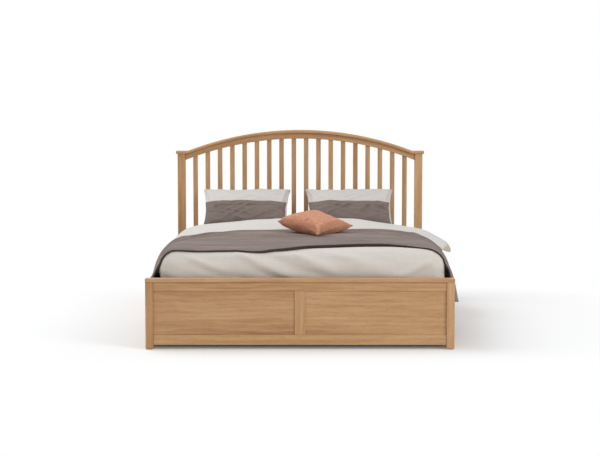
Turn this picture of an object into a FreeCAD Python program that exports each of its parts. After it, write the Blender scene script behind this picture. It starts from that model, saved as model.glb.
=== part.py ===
import FreeCAD, Part
import math
import os
import re

# Gas lift storage bed: an arched, slatted headboard, a panelled footboard and two side rails make a box.
# A steel platform carries the dressed mattress. Two pairs of arms and two gas struts lift its foot end.
# Millimetres, +Z up, the foot end towards -Y, the origin on the floor in the middle of the bed's box.

sizes = {
    # Whole frame
    "cut_overrun": 5.0,
    "glide_height": 3.0,
    "glide_radius": 14.0,
    # Footboard
    "foot_post_width": 40.0,
    "foot_post_depth": 45.0,
    "foot_height": 367.0,
    "foot_cap_thickness": 18.0,
    "foot_cap_overhang": 5.0,
    "foot_cap_end_overhang": 1.0,
    "foot_cap_round": 3.0,
    "foot_rail_thickness": 28.0,
    "foot_rail_setback": 5.0,
    "foot_top_rail_height": 47.0,
    "foot_bottom_rail_height": 53.0,
    "foot_bottom_gap": 23.0,
    "foot_stile_width": 54.0,
    "foot_panel_thickness": 12.0,
    "foot_panel_setback": 6.0,
    "panel_groove": 8.0,
    "panel_clearance": 0.3,
    # Headboard
    "head_post_width": 50.0,
    "head_post_depth": 50.0,
    "head_flat_height": 955.0,
    "head_arch_rise": 135.0,
    "head_arch_flat": 66.0,
    "head_arch_blend": 45.0,
    "head_cap_thickness": 20.0,
    "head_cap_overhang": 10.0,
    "head_cap_end_overhang": 9.0,
    "head_cap_round": 7.0,
    "arch_rail_height": 36.0,
    "arch_rail_end_height": 40.5,
    "arch_rail_thickness": 30.0,
    "head_slat_width": 30.0,
    "head_slat_thickness": 14.0,
    "lower_rail_top": 400.0,
    "lower_rail_height": 70.0,
    "lower_rail_thickness": 30.0,
    "head_panel_thickness": 15.0,
    # Side rails and the storage floor
    "side_rail_thickness": 22.0,
    "side_rail_inset": 2.0,
    "side_rail_bottom": 12.0,
    "side_rail_top": 330.0,
    "corner_block_width": 30.0,
    "foot_block_depth": 60.0,
    "head_block_depth": 30.0,
    "head_block_top": 105.0,
    "batten_width": 20.0,
    "batten_height": 16.0,
    "floor_panel_thickness": 8.0,
    "floor_panel_clearance": 0.5,
    "floor_beam_width": 45.0,
    "floor_beam_inset": 150.0,
    "beam_foot_radius": 20.0,
    "bolt_radius": 3.0,
    "bolt_head_radius": 6.5,
    "bolt_head_thickness": 3.5,
    "bolt_clearance": 0.2,
    "bolt_bite": 13.0,
    "plate_bolt_inset": 14.0,
    "block_bolt_inset": 18.0,
    # Lift mechanism, in planes from the side rail inwards
    "mech_plate_thickness": 4.0,
    "mech_plate_margin": 48.0,
    "mech_plate_bottom": 42.0,
    "mech_plate_height": 78.0,
    "arm_gap": 4.0,
    "arm_thickness": 5.0,
    "arm_width": 30.0,
    "bracket_gap": 2.0,
    "bracket_thickness": 4.0,
    "bracket_margin": 25.0,
    "bracket_drop": 20.0,
    "pin_radius": 6.0,
    "pin_clearance": 0.08,
    "pin_head_radius": 10.0,
    "pin_head_thickness": 3.0,
    "side_play": 0.4,
    "front_arm_base_y": -24.7,
    "front_arm_base_rise": 28.0,
    "front_arm_tip_y": 365.6,
    "front_arm_tip_drop": 37.0,
    "rear_arm_base_y": 166.0,
    "rear_arm_base_rise": 13.2,
    "rear_arm_tip_y": 485.7,
    "rear_arm_tip_drop": 27.0,
    "slot_pin_radius": 5.0,
    "slot_travel": 15.4,
    "slot_rise": 1.7,
    "slot_half_width": 7.8,
    "slot_pin_head_radius": 12.0,
    # Gas struts
    "strut_base_y": 41.1,
    "strut_base_rise": 18.0,
    "strut_tip_y": 307.4,
    "strut_tip_drop": 22.0,
    "strut_standoff": 32.0,
    "strut_eye_radius": 10.0,
    "strut_eye_width": 14.0,
    "strut_neck_radius": 6.5,
    "strut_neck_length": 17.0,
    "strut_tube_radius": 11.0,
    "strut_tube_wall": 1.5,
    "strut_rod_showing": 46.4276,
    "strut_cap_length": 14.0,
    "strut_rod_radius": 5.0,
    "strut_rod_clearance": 0.1,
    "strut_piston_length": 12.0,
    "strut_piston_play": 0.3,
    "strut_piston_start": 45.0,
    "strut_stud_collar_radius": 9.0,
    "strut_tip_gap": 0.6,
    # Lifting platform
    "platform_bottom": 262.0,
    "platform_tube_height": 25.0,
    "platform_tube_width": 40.0,
    "platform_tube_wall": 1.5,
    "platform_foot_gap": 30.0,
    "platform_head_gap": 20.0,
    "platform_rest_gap": 0.3,
    "bed_slat_width": 53.0,
    "bed_slat_thickness": 8.0,
    "bed_slat_end_margin": 60.0,
    "bed_slat_clearance": 0.3,
    "slat_holder_height": 13.0,
    "slat_holder_reach": 28.0,
    "slat_holder_gap": 1.0,
    "slat_holder_lip": 2.2,
    "slat_holder_side": 4.0,
    "strap_width": 30.0,
    "strap_thickness": 3.0,
    "strap_span": 140.0,
    "strap_drop": 70.0,
    # Mattress
    "mattress_side_gap": 46.0,
    "mattress_width": 1450.0,
    "mattress_length": 2000.0,
    "mattress_thickness": 190.0,
    "mattress_corner_radius": 90.0,
    "mattress_top_radius": 84.0,
    "mattress_bottom_radius": 15.0,
    "bedding_clearance": 0.4,
    # Duvet, lying on the mattress with its two sides falling outwards
    "duvet_thickness": 18.0,
    "duvet_start_share": 0.6865,
    "duvet_head_inset": 360.0,
    "duvet_shoulder_inset": 10.0,
    "duvet_shoulder_radius": 70.0,
    "duvet_flap_reach": 185.0,
    "duvet_flap_drop": 130.0,
    "duvet_crown": 2.0,
    # Throw, over the foot of the bed and the duvet's lower edge
    "throw_thickness": 6.0,
    "throw_foot_inset": 35.0,
    "throw_length": 925.0,
    "throw_fall_reach": 165.0,
    "throw_fall_drop": 320.0,
    "throw_duvet_gap": 2.0,
    # Pillows and the accent cushion
    "back_pillow_width": 546.0,
    "back_pillow_length": 380.0,
    "back_pillow_front_bulge": 30.0,
    "back_pillow_back_bulge": 112.0,
    "back_pillow_lean_angle": 32.0,
    "back_pillow_inset": 179.0,
    "back_pillow_rise": 113.0,
    "back_pillow_left_inset": 387.0,
    "back_pillow_right_inset": 409.0,
    "front_pillow_width": 497.0,
    "front_pillow_length": 235.0,
    "front_pillow_front_bulge": 48.0,
    "front_pillow_back_bulge": 26.0,
    "front_pillow_lean_angle": 32.0,
    "front_pillow_inset": 324.0,
    "front_pillow_rise": 80.5,
    "front_pillow_left_inset": 385.0,
    "front_pillow_right_inset": 415.0,
    "pillow_side_draw": 12.0,
    "cushion_side": 312.0,
    "cushion_half_thickness": 64.0,
    "cushion_x": 90.0,
    "cushion_setback": 80.0,
    "cushion_rise": 55.0,
    "cushion_turn_angle": 42.0,
    "cushion_tilt_angle": 13.0,
    "cushion_roll_angle": 3.7,
}

# Places that follow from the sizes
places = {
    "half_width": "mattress_width / 2 + mattress_side_gap + side_rail_thickness + side_rail_inset",
    "clear_length": "platform_foot_gap + mattress_length + platform_head_gap",
    "foot_depth": "foot_cap_overhang + foot_post_depth",
    "head_depth": "head_post_depth + head_cap_overhang",
    "half_length": "(foot_depth + clear_length + head_depth) / 2",
    "foot_front": "foot_cap_overhang - half_length",
    "foot_inner": "foot_front + foot_post_depth",
    "head_inner": "foot_inner + clear_length",
    "head_back": "head_inner + head_post_depth",
    "head_middle": "(head_inner + head_back) / 2",
    "foot_post_inner_x": "half_width - foot_post_width",
    "head_post_inner_x": "half_width - head_post_width",
    "head_arch_height": "head_flat_height + head_arch_rise",
    "head_arch_reach": "half_width - head_arch_flat",
    "foot_cap_bottom": "foot_height - foot_cap_thickness",
    "foot_panel_bottom": "foot_bottom_gap + foot_bottom_rail_height",
    "foot_panel_top": "foot_cap_bottom - foot_top_rail_height",
    "foot_rail_front": "foot_front + foot_rail_setback",
    "foot_rail_back": "foot_rail_front + foot_rail_thickness",
    "foot_panel_front": "foot_rail_front + foot_panel_setback",
    "foot_panel_back": "foot_panel_front + foot_panel_thickness",
    "rail_outer_x": "half_width - side_rail_inset",
    "rail_inner_x": "rail_outer_x - side_rail_thickness",
    "floor_bottom": "side_rail_bottom + batten_height",
    "floor_top": "floor_bottom + floor_panel_thickness",
    "block_inner_x": "rail_inner_x - corner_block_width",
    "plate_inner_x": "rail_inner_x - mech_plate_thickness",
    "arm_outer_x": "plate_inner_x - arm_gap",
    "arm_inner_x": "arm_outer_x - arm_thickness",
    "bracket_outer_x": "arm_inner_x - bracket_gap",
    "bracket_inner_x": "bracket_outer_x - bracket_thickness",
    "strut_x": "bracket_inner_x - strut_standoff",
    "strut_eye_inner_x": "strut_x - strut_eye_width / 2",
    "strut_eye_outer_x": "strut_x + strut_eye_width / 2",
    "tube_inner_x": "bracket_inner_x - platform_tube_width",
    "platform_top": "platform_bottom + platform_tube_height",
    "platform_foot": "foot_inner + platform_foot_gap",
    "platform_head": "head_inner - platform_head_gap",
    "front_arm_base_z": "mech_plate_bottom + front_arm_base_rise",
    "rear_arm_base_z": "mech_plate_bottom + rear_arm_base_rise",
    "strut_base_z": "mech_plate_bottom + strut_base_rise",
    "front_arm_tip_z": "platform_bottom - front_arm_tip_drop",
    "rear_arm_tip_z": "platform_bottom - rear_arm_tip_drop",
    "strut_tip_z": "platform_bottom - strut_tip_drop",
    "strut_reach": "sqrt((strut_tip_y - strut_base_y)^2 + (strut_tip_z - strut_base_z)^2)",
    "strut_tube_length": "strut_reach - strut_neck_length - strut_rod_showing",
    "slat_bottom": "platform_top + slat_holder_lip",
    "slat_top": "slat_bottom + bed_slat_thickness",
    "slat_outer_x": "bracket_inner_x - slat_holder_side",
    "slat_inner_x": "slat_holder_gap + slat_holder_side",
    "holder_top": "platform_top + slat_holder_height",
    "mattress_bottom": "holder_top + bedding_clearance",
    "mattress_top": "mattress_bottom + mattress_thickness",
    "duvet_bottom": "mattress_top + bedding_clearance",
    "duvet_top": "duvet_bottom + duvet_thickness",
    "throw_low_top": "mattress_top + bedding_clearance + throw_thickness",
    "throw_high_top": "duvet_top + throw_duvet_gap + throw_thickness",
    "throw_foot_y": "platform_foot + throw_foot_inset",
    "throw_head_y": "throw_foot_y + throw_length",
    "duvet_foot_y": "throw_foot_y + duvet_start_share * throw_length",
    "duvet_head_y": "platform_head - duvet_head_inset",
    "duvet_shoulder_x": "mattress_width / 2 - duvet_shoulder_inset",
    "back_pillow_y": "platform_head - back_pillow_inset",
    "front_pillow_y": "platform_head - front_pillow_inset",
    "cushion_y": "throw_head_y - cushion_setback",
}

sides = {"left": -1, "right": 1}
head_slat_count = 18
bed_slat_count = 13
beam_count = 4

doc = FreeCAD.newDocument("gas_lift_bed")
nodes = {}


def fill_sheet(sheet, cells):
    for row, (name, text) in enumerate(cells.items(), start=1):
        sheet.set(f"A{row}", name)
        sheet.set(f"B{row}", text)
        sheet.setAlias(f"B{row}", name)
    doc.recompute()


def with_sheet(text, own_sheet=""):
    def full_name(word):
        name = word.group(0)
        if name in sizes:
            return f"Sizes.{name}"
        if name in places and own_sheet != "Places":
            return f"Places.{name}"
        return name
    return re.sub(r"[a-z][a-z_]*", full_name, text)


size_sheet = doc.addObject("Spreadsheet::Sheet", "Sizes")
fill_sheet(size_sheet, {name: str(value) for name, value in sizes.items()})
place_sheet = doc.addObject("Spreadsheet::Sheet", "Places")
fill_sheet(place_sheet, {name: "=" + with_sheet(text, "Places") for name, text in places.items()})


def value(name):
    sheet = size_sheet if name in sizes else place_sheet
    return float(sheet.get(name))


def mirrored(side, inner, outer):
    if side > 0:
        return inner, outer
    return f"-({outer})", f"-({inner})"


def block(label, x_span, y_span, z_span):
    box = doc.addObject("Part::Box", label)
    for name, axis, (low, high) in zip(("Length", "Width", "Height"), "xyz", (x_span, y_span, z_span)):
        box.setExpression(name, with_sheet(f"({high}) - ({low})"))
        box.setExpression(f"Placement.Base.{axis}", with_sheet(low))
    return box


def peg(label, radius, x_span, y, z):
    pin = doc.addObject("Part::Cylinder", label)
    low, high = x_span
    pin.Placement = FreeCAD.Placement(FreeCAD.Vector(), FreeCAD.Rotation(FreeCAD.Vector(0, 1, 0), 90))
    pin.setExpression("Radius", with_sheet(radius))
    pin.setExpression("Height", with_sheet(f"({high}) - ({low})"))
    for axis, text in zip("xyz", (low, y, z)):
        pin.setExpression(f"Placement.Base.{axis}", with_sheet(text))
    return pin


def column(label, radius, x, y, z_span):
    post = doc.addObject("Part::Cylinder", label)
    low, high = z_span
    post.setExpression("Radius", with_sheet(radius))
    post.setExpression("Height", with_sheet(f"({high}) - ({low})"))
    for axis, text in zip("xyz", (x, y, low)):
        post.setExpression(f"Placement.Base.{axis}", with_sheet(text))
    return post


def compound(label, pieces):
    bundle = doc.addObject("Part::Compound", label)
    bundle.Links = pieces
    return bundle


def fuse(label, pieces):
    joined = doc.addObject("Part::MultiFuse", label)
    joined.Shapes = pieces
    return joined


def cut(label, base, tool):
    left = doc.addObject("Part::Cut", label)
    left.Base = base
    left.Tool = tool
    return left


def common(label, base, tool):
    kept = doc.addObject("Part::Common", label)
    kept.Base = base
    kept.Tool = tool
    return kept


def feature(label, shape, placement=None):
    piece = doc.addObject("Part::Feature", label)
    piece.Shape = shape
    if placement is not None:
        piece.Placement = placement
    return piece


def add_node(name, piece):
    piece.Label = name
    nodes[name] = piece


# Footboard: two posts, a cap, two rails, a stile and two panels held in grooves
def footboard():
    front_span = ("foot_front", "foot_inner")
    for name, side in sides.items():
        post_x = mirrored(side, "foot_post_inner_x", "half_width")
        post = block(f"foot_post_blank_{name}", post_x, front_span, ("glide_height", "foot_cap_bottom"))
        groove_x = mirrored(side, "0", "foot_post_inner_x + panel_groove")
        groove = panel_groove(f"foot_post_groove_{name}", groove_x)
        add_node(f"foot_post_{name}", cut(f"foot_post_{name}", post, groove))
        panel_x = mirrored(side, "foot_stile_width / 2 - panel_groove + panel_clearance",
                           "foot_post_inner_x + panel_groove - panel_clearance")
        panel_z = ("foot_panel_bottom - panel_groove + panel_clearance",
                   "foot_panel_top + panel_groove - panel_clearance")
        panel = block(f"footboard_panel_{name}", panel_x, ("foot_panel_front", "foot_panel_back"), panel_z)
        add_node(f"footboard_panel_{name}", panel)

    rail_y = ("foot_rail_front", "foot_rail_back")
    between_posts = ("-foot_post_inner_x", "foot_post_inner_x")
    beside_stile = ("-foot_stile_width / 2", "foot_stile_width / 2")
    framing = {
        "footboard_top_rail": (between_posts, ("foot_panel_top", "foot_cap_bottom")),
        "footboard_bottom_rail": (between_posts, ("foot_bottom_gap", "foot_panel_bottom")),
        "footboard_stile": (beside_stile, ("foot_panel_bottom", "foot_panel_top")),
    }
    for name, (x_span, z_span) in framing.items():
        blank = block(f"{name}_blank", x_span, rail_y, z_span)
        if name == "footboard_stile":
            sides_kept = [panel_groove(f"stile_groove_{side_name}",
                                       mirrored(side, "foot_stile_width / 2 - panel_groove", "half_width"))
                          for side_name, side in sides.items()]
            groove = compound("stile_grooves", sides_kept)
        else:
            groove = panel_groove(f"{name}_groove", between_posts)
        add_node(name, cut(name, blank, groove))

    cap_y = ("foot_front - foot_cap_overhang", "foot_inner + foot_cap_overhang")
    cap_x = ("-half_width - foot_cap_end_overhang", "half_width + foot_cap_end_overhang")
    cap = block("footboard_cap_blank", cap_x, cap_y, ("foot_cap_bottom", "foot_height"))
    doc.recompute()
    rounded = doc.addObject("Part::Fillet", "footboard_cap")
    rounded.Base = cap
    radius = value("foot_cap_round")
    rounded.Edges = [(number, radius, radius) for number in range(1, len(cap.Shape.Edges) + 1)]
    add_node("footboard_cap", rounded)


def panel_groove(label, x_span):
    groove_y = ("foot_panel_front - panel_clearance", "foot_panel_back + panel_clearance")
    groove_z = ("foot_panel_bottom - panel_groove", "foot_panel_top + panel_groove")
    return block(label, x_span, groove_y, groove_z)


# Points and edges of the arch, in a plane across the bed, a given drop below the cap's top face
def arch_edges(drop, end_x):
    reach = value("head_arch_reach")
    rise = value("head_arch_height") - value("head_flat_height")
    cap_radius = (reach ** 2 + rise ** 2) / (2 * rise)
    centre_z = value("head_arch_height") - cap_radius
    blend = value("head_arch_blend")
    blend_z = value("head_flat_height") + blend
    blend_x = math.sqrt((cap_radius + blend) ** 2 - (blend_z - centre_z) ** 2)
    radius = cap_radius - drop
    flat_z = value("head_flat_height") - drop
    share = radius / (cap_radius + blend)
    touch_x = share * blend_x
    touch_z = centre_z + share * (blend_z - centre_z)
    turn = math.atan2(blend_x - touch_x, blend_z - touch_z) / 2
    middle_x = blend_x - (blend + drop) * math.sin(turn)
    middle_z = blend_z - (blend + drop) * math.cos(turn)

    def point(x, z):
        return FreeCAD.Vector(x, 0, z)

    def arc(*corners):
        return Part.Arc(*corners).toShape()
    left_end, right_end = point(-end_x, flat_z), point(end_x, flat_z)
    left_flat, right_flat = point(-blend_x, flat_z), point(blend_x, flat_z)
    left_touch, right_touch = point(-touch_x, touch_z), point(touch_x, touch_z)
    edges = [
        Part.makeLine(left_end, left_flat),
        arc(left_flat, point(-middle_x, middle_z), left_touch),
        arc(left_touch, point(0, centre_z + radius), right_touch),
        arc(right_touch, point(middle_x, middle_z), right_flat),
        Part.makeLine(right_flat, right_end),
    ]
    return edges, left_end, right_end


# Underside of the arch rail: one arc that meets each post a little deeper below the cap than in the middle
def rail_arc(end_x):
    reach = value("head_post_inner_x")
    cap_drop = value("head_cap_thickness")
    top_z = value("head_arch_height") - cap_drop - value("arch_rail_height")
    drop = top_z - (value("head_flat_height") - cap_drop - value("arch_rail_end_height"))
    radius = (reach ** 2 + drop ** 2) / (2 * drop)
    end_z = top_z - radius + math.sqrt(radius ** 2 - end_x ** 2)
    left_end, right_end = FreeCAD.Vector(-end_x, 0, end_z), FreeCAD.Vector(end_x, 0, end_z)
    arc = Part.Arc(left_end, FreeCAD.Vector(0, 0, top_z), right_end)
    return [arc.toShape()], left_end, right_end


def arch_band(label, upper, lower, y_low, y_high):
    top, top_left, top_right = upper
    bottom, bottom_left, bottom_right = lower
    ends = [Part.makeLine(top_left, bottom_left), Part.makeLine(top_right, bottom_right)]
    return arch_solid(label, top + bottom + ends, y_low, y_high)


def arch_solid(label, edges, y_low, y_high):
    face = Part.Face(Part.Wire(Part.__sortEdges__(edges)))
    solid = face.extrude(FreeCAD.Vector(0, y_high - y_low, 0))
    return feature(label, solid.translated(FreeCAD.Vector(0, y_low, 0)))


# Headboard: two posts, the arched cap and rail, the slats, a lower rail and the panel behind the store
def headboard():
    for name, side in sides.items():
        post_x = mirrored(side, "head_post_inner_x", "half_width")
        post_z = ("glide_height", "head_flat_height - head_cap_thickness")
        post = block(f"head_post_{name}", post_x, ("head_inner", "head_back"), post_z)
        add_node(f"head_post_{name}", post)

    cap_drop = value("head_cap_thickness")
    cap_end = value("half_width") + value("head_cap_end_overhang")
    cap_low = value("head_inner") - value("head_cap_overhang")
    cap_high = value("head_back") + value("head_cap_overhang")
    cap_edges = [arch_edges(drop, cap_end) for drop in (0, cap_drop)]
    cap = arch_band("headboard_cap_blank", *cap_edges, cap_low, cap_high)
    long_edges = [edge for edge in cap.Shape.Edges
                  if edge.BoundBox.YLength < value("panel_clearance")
                  and edge.BoundBox.XLength > value("panel_clearance")]
    rounded = cap.Shape.makeFillet(value("head_cap_round"), long_edges)
    add_node("headboard_cap", feature("headboard_cap", rounded))

    between_posts = ("-head_post_inner_x", "head_post_inner_x")
    rail_low = value("head_middle") - value("arch_rail_thickness") / 2
    rail_high = value("head_middle") + value("arch_rail_thickness") / 2
    half_width = value("half_width")
    under_cap, underside = arch_edges(cap_drop, half_width), rail_arc(half_width)
    band = arch_band("arch_rail_band", under_cap, underside, rail_low, rail_high)
    between = block("arch_rail_room", between_posts, ("head_inner", "head_back"), ("0", "head_arch_height"))
    add_node("headboard_arch_rail", common("headboard_arch_rail", band, between))

    lower_y = ("head_middle - lower_rail_thickness / 2", "head_middle + lower_rail_thickness / 2")
    lower_z = ("lower_rail_top - lower_rail_height", "lower_rail_top")
    add_node("headboard_lower_rail", block("headboard_lower_rail", between_posts, lower_y, lower_z))
    panel_y = ("head_middle - head_panel_thickness / 2", "head_middle + head_panel_thickness / 2")
    panel_z = ("side_rail_bottom", "lower_rail_top - lower_rail_height")
    add_node("head_panel", block("head_panel", between_posts, panel_y, panel_z))

    slat_y = ("head_middle - head_slat_thickness / 2", "head_middle + head_slat_thickness / 2")
    room = "(2 * head_post_inner_x - {0} * head_slat_width) / ({0} + 1)".format(head_slat_count)
    slats = []
    for number in range(head_slat_count):
        start = f"-head_post_inner_x + {room} + {number} * (head_slat_width + {room})"
        slat_x = (start, f"{start} + head_slat_width")
        slats.append(block(f"head_slat_{number}", slat_x, slat_y, ("lower_rail_top", "head_arch_height")))
    edges, left_end, right_end = underside
    left_foot = FreeCAD.Vector(left_end.x, 0, 0)
    right_foot = FreeCAD.Vector(right_end.x, 0, 0)
    edges = edges + [Part.makeLine(left_end, left_foot), Part.makeLine(left_foot, right_foot)]
    edges.append(Part.makeLine(right_foot, right_end))
    under_arch = arch_solid("under_arch", edges, value("head_inner"), value("head_back"))
    add_node("headboard_slats", common("headboard_slats", compound("head_slat_blanks", slats), under_arch))


# Bolts that run outwards into the side rails: through the corner blocks and the mechanism's plates
def rail_bolt_places():
    places_of_bolts = []
    block_rows = ("floor_top + block_bolt_inset", "head_block_top - block_bolt_inset")
    block_columns = ("foot_inner + foot_block_depth / 2", "head_inner - head_block_depth / 2")
    for y in block_columns:
        for z in block_rows:
            places_of_bolts.append(("block_inner_x", y, z))
    plate_low_y = "front_arm_base_y - mech_plate_margin + plate_bolt_inset"
    plate_high_y = "rear_arm_base_y + mech_plate_margin - plate_bolt_inset"
    plate_low_z = "mech_plate_bottom + plate_bolt_inset"
    plate_high_z = "mech_plate_bottom + mech_plate_height - plate_bolt_inset"
    for y in (plate_low_y, plate_high_y):
        for z in (plate_low_z, plate_high_z):
            places_of_bolts.append(("plate_inner_x", y, z))
    return places_of_bolts


def rail_bolts(name, side):
    bolts, holes = [], []
    for number, (face_x, y, z) in enumerate(rail_bolt_places()):
        shank_x = mirrored(side, face_x, "rail_inner_x + bolt_bite")
        head_x = mirrored(side, f"{face_x} - bolt_head_thickness", face_x)
        hole_x = mirrored(side, f"{face_x} - cut_overrun", "rail_inner_x + bolt_bite")
        shank = peg(f"bolt_shank_{name}_{number}", "bolt_radius", shank_x, y, z)
        head = peg(f"bolt_head_{name}_{number}", "bolt_head_radius", head_x, y, z)
        bolts.append(fuse(f"bolt_{name}_{number}", [shank, head]))
        holes.append(peg(f"bolt_hole_{name}_{number}", "bolt_radius + bolt_clearance", hole_x, y, z))
    return bolts, compound(f"bolt_holes_{name}", holes)


# Side rails, corner blocks, mechanism plates and their bolts
def sides_of_box():
    bolts, blocks = [], []
    along = ("foot_inner", "head_inner")
    block_places = {
        "foot": (("foot_inner", "foot_inner + foot_block_depth"), "platform_bottom - platform_rest_gap"),
        "head": (("head_inner - head_block_depth", "head_inner"), "head_block_top"),
    }
    for name, side in sides.items():
        side_bolts, holes = rail_bolts(name, side)
        bolts += side_bolts
        rail_x = mirrored(side, "rail_inner_x", "rail_outer_x")
        rail = block(f"side_rail_blank_{name}", rail_x, along, ("side_rail_bottom", "side_rail_top"))
        add_node(f"side_rail_{name}", cut(f"side_rail_{name}", rail, holes))
        for end, (y_span, top) in block_places.items():
            block_x = mirrored(side, "block_inner_x", "rail_inner_x")
            bottom = "floor_top + floor_panel_clearance"
            blank = block(f"corner_block_{end}_{name}", block_x, y_span, (bottom, top))
            blocks.append(cut(f"corner_block_drilled_{end}_{name}", blank, holes))
        plate_y = ("front_arm_base_y - mech_plate_margin", "rear_arm_base_y + mech_plate_margin")
        plate_z = ("mech_plate_bottom", "mech_plate_bottom + mech_plate_height")
        plate_x = mirrored(side, "plate_inner_x", "rail_inner_x")
        plate = block(f"mech_plate_blank_{name}", plate_x, plate_y, plate_z)
        add_node(f"mech_plate_{name}", cut(f"mech_plate_{name}", plate, holes))
    add_node("corner_blocks", compound("corner_blocks", blocks))
    add_node("rail_bolts", compound("rail_bolts", bolts))


# Floor of the store: battens along the rails, cross beams on feet and three panels
def storage_floor():
    battens, feet, beams, beam_edges = [], [], [], []
    for name, side in sides.items():
        batten_x = mirrored(side, "rail_inner_x - batten_width", "rail_inner_x")
        batten_z = ("side_rail_bottom", "floor_bottom")
        battens.append(block(f"floor_batten_{name}", batten_x, ("foot_inner", "head_inner"), batten_z))
        foot_centre = mirrored(side, "0", "half_width - foot_post_width / 2")[side > 0]
        head_centre = mirrored(side, "0", "half_width - head_post_width / 2")[side > 0]
        glide_z = ("0", "glide_height")
        foot_y, head_y = "foot_front + foot_post_depth / 2", "head_middle"
        feet.append(column(f"foot_glide_{name}", "glide_radius", foot_centre, foot_y, glide_z))
        feet.append(column(f"head_glide_{name}", "glide_radius", head_centre, head_y, glide_z))
    for number in range(beam_count):
        share = number / (beam_count - 1)
        beam_run = "clear_length - floor_beam_width - 2 * floor_beam_inset"
        low = f"foot_inner + floor_beam_inset + {share} * ({beam_run})"
        beam_edges.append(f"{low} + floor_beam_width / 2")
        beam_x = ("batten_width - rail_inner_x", "rail_inner_x - batten_width")
        beam_z = ("side_rail_bottom", "floor_bottom")
        beams.append(block(f"floor_beam_{number}", beam_x, (low, f"{low} + floor_beam_width"), beam_z))
        for offset, x in enumerate(("-rail_inner_x / 2", "0", "rail_inner_x / 2")):
            label = f"beam_foot_{number}_{offset}"
            feet.append(column(label, "beam_foot_radius", x, beam_edges[-1], ("0", "side_rail_bottom")))
    add_node("floor_battens", compound("floor_battens", battens))
    add_node("floor_beams", compound("floor_beams", beams))
    add_node("floor_feet", compound("floor_feet", feet))
    seams = ["foot_inner"] + beam_edges[1:-1] + ["head_inner"]
    panel_x = ("floor_panel_clearance - rail_inner_x", "rail_inner_x - floor_panel_clearance")
    for name, low, high in zip(("foot", "middle", "head"), seams[:-1], seams[1:]):
        panel_y = (f"{low} + floor_panel_clearance", f"{high} - floor_panel_clearance")
        panel = block(f"floor_panel_{name}", panel_x, panel_y, ("floor_bottom", "floor_top"))
        add_node(f"floor_panel_{name}", panel)


# A flat bar with round ends between two pivots, lying in the arms' plane
def arm(label, side, base, tip, holes):
    base_y, base_z, tip_y, tip_z = (value(name) for name in base + tip)
    length = math.hypot(tip_y - base_y, tip_z - base_z)
    angle = math.atan2(tip_z - base_z, tip_y - base_y)
    x_span = mirrored(side, "arm_inner_x", "arm_outer_x")
    bar = doc.addObject("Part::Box", f"{label}_bar")
    bar.setExpression("Length", with_sheet("arm_thickness"))
    bar.setExpression("Height", with_sheet("arm_width"))
    bar.Width = length
    half = value("arm_width") / 2
    low_x = value("arm_inner_x") if side > 0 else -value("arm_outer_x")
    corner = FreeCAD.Vector(low_x, base_y + half * math.sin(angle), base_z - half * math.cos(angle))
    turn = FreeCAD.Rotation(FreeCAD.Vector(1, 0, 0), math.degrees(angle))
    bar.Placement = FreeCAD.Placement(corner, turn)
    ends = [peg(f"{label}_end_{y}", "arm_width / 2", x_span, y, z) for y, z in (base, tip)]
    blank = fuse(f"{label}_blank", [bar] + ends)
    hole_x = mirrored(side, "arm_inner_x - cut_overrun", "arm_outer_x + cut_overrun")
    bores = [peg(f"{label}_bore_{y}", "pin_radius + pin_clearance", hole_x, y, z) for y, z in holes]
    add_node(label, cut(label, blank, compound(f"{label}_bores", bores)))


# A stepped pin across the bed: each ring is a radius and the stretch of X that it fills
def stepped_pin(label, side, y, z, rings):
    steps = [peg(f"{label}_step_{number}", radius, mirrored(side, inner, outer), y, z)
             for number, (radius, inner, outer) in enumerate(rings)]
    if len(steps) == 1:
        return steps[0]
    return fuse(label, steps)


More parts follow.
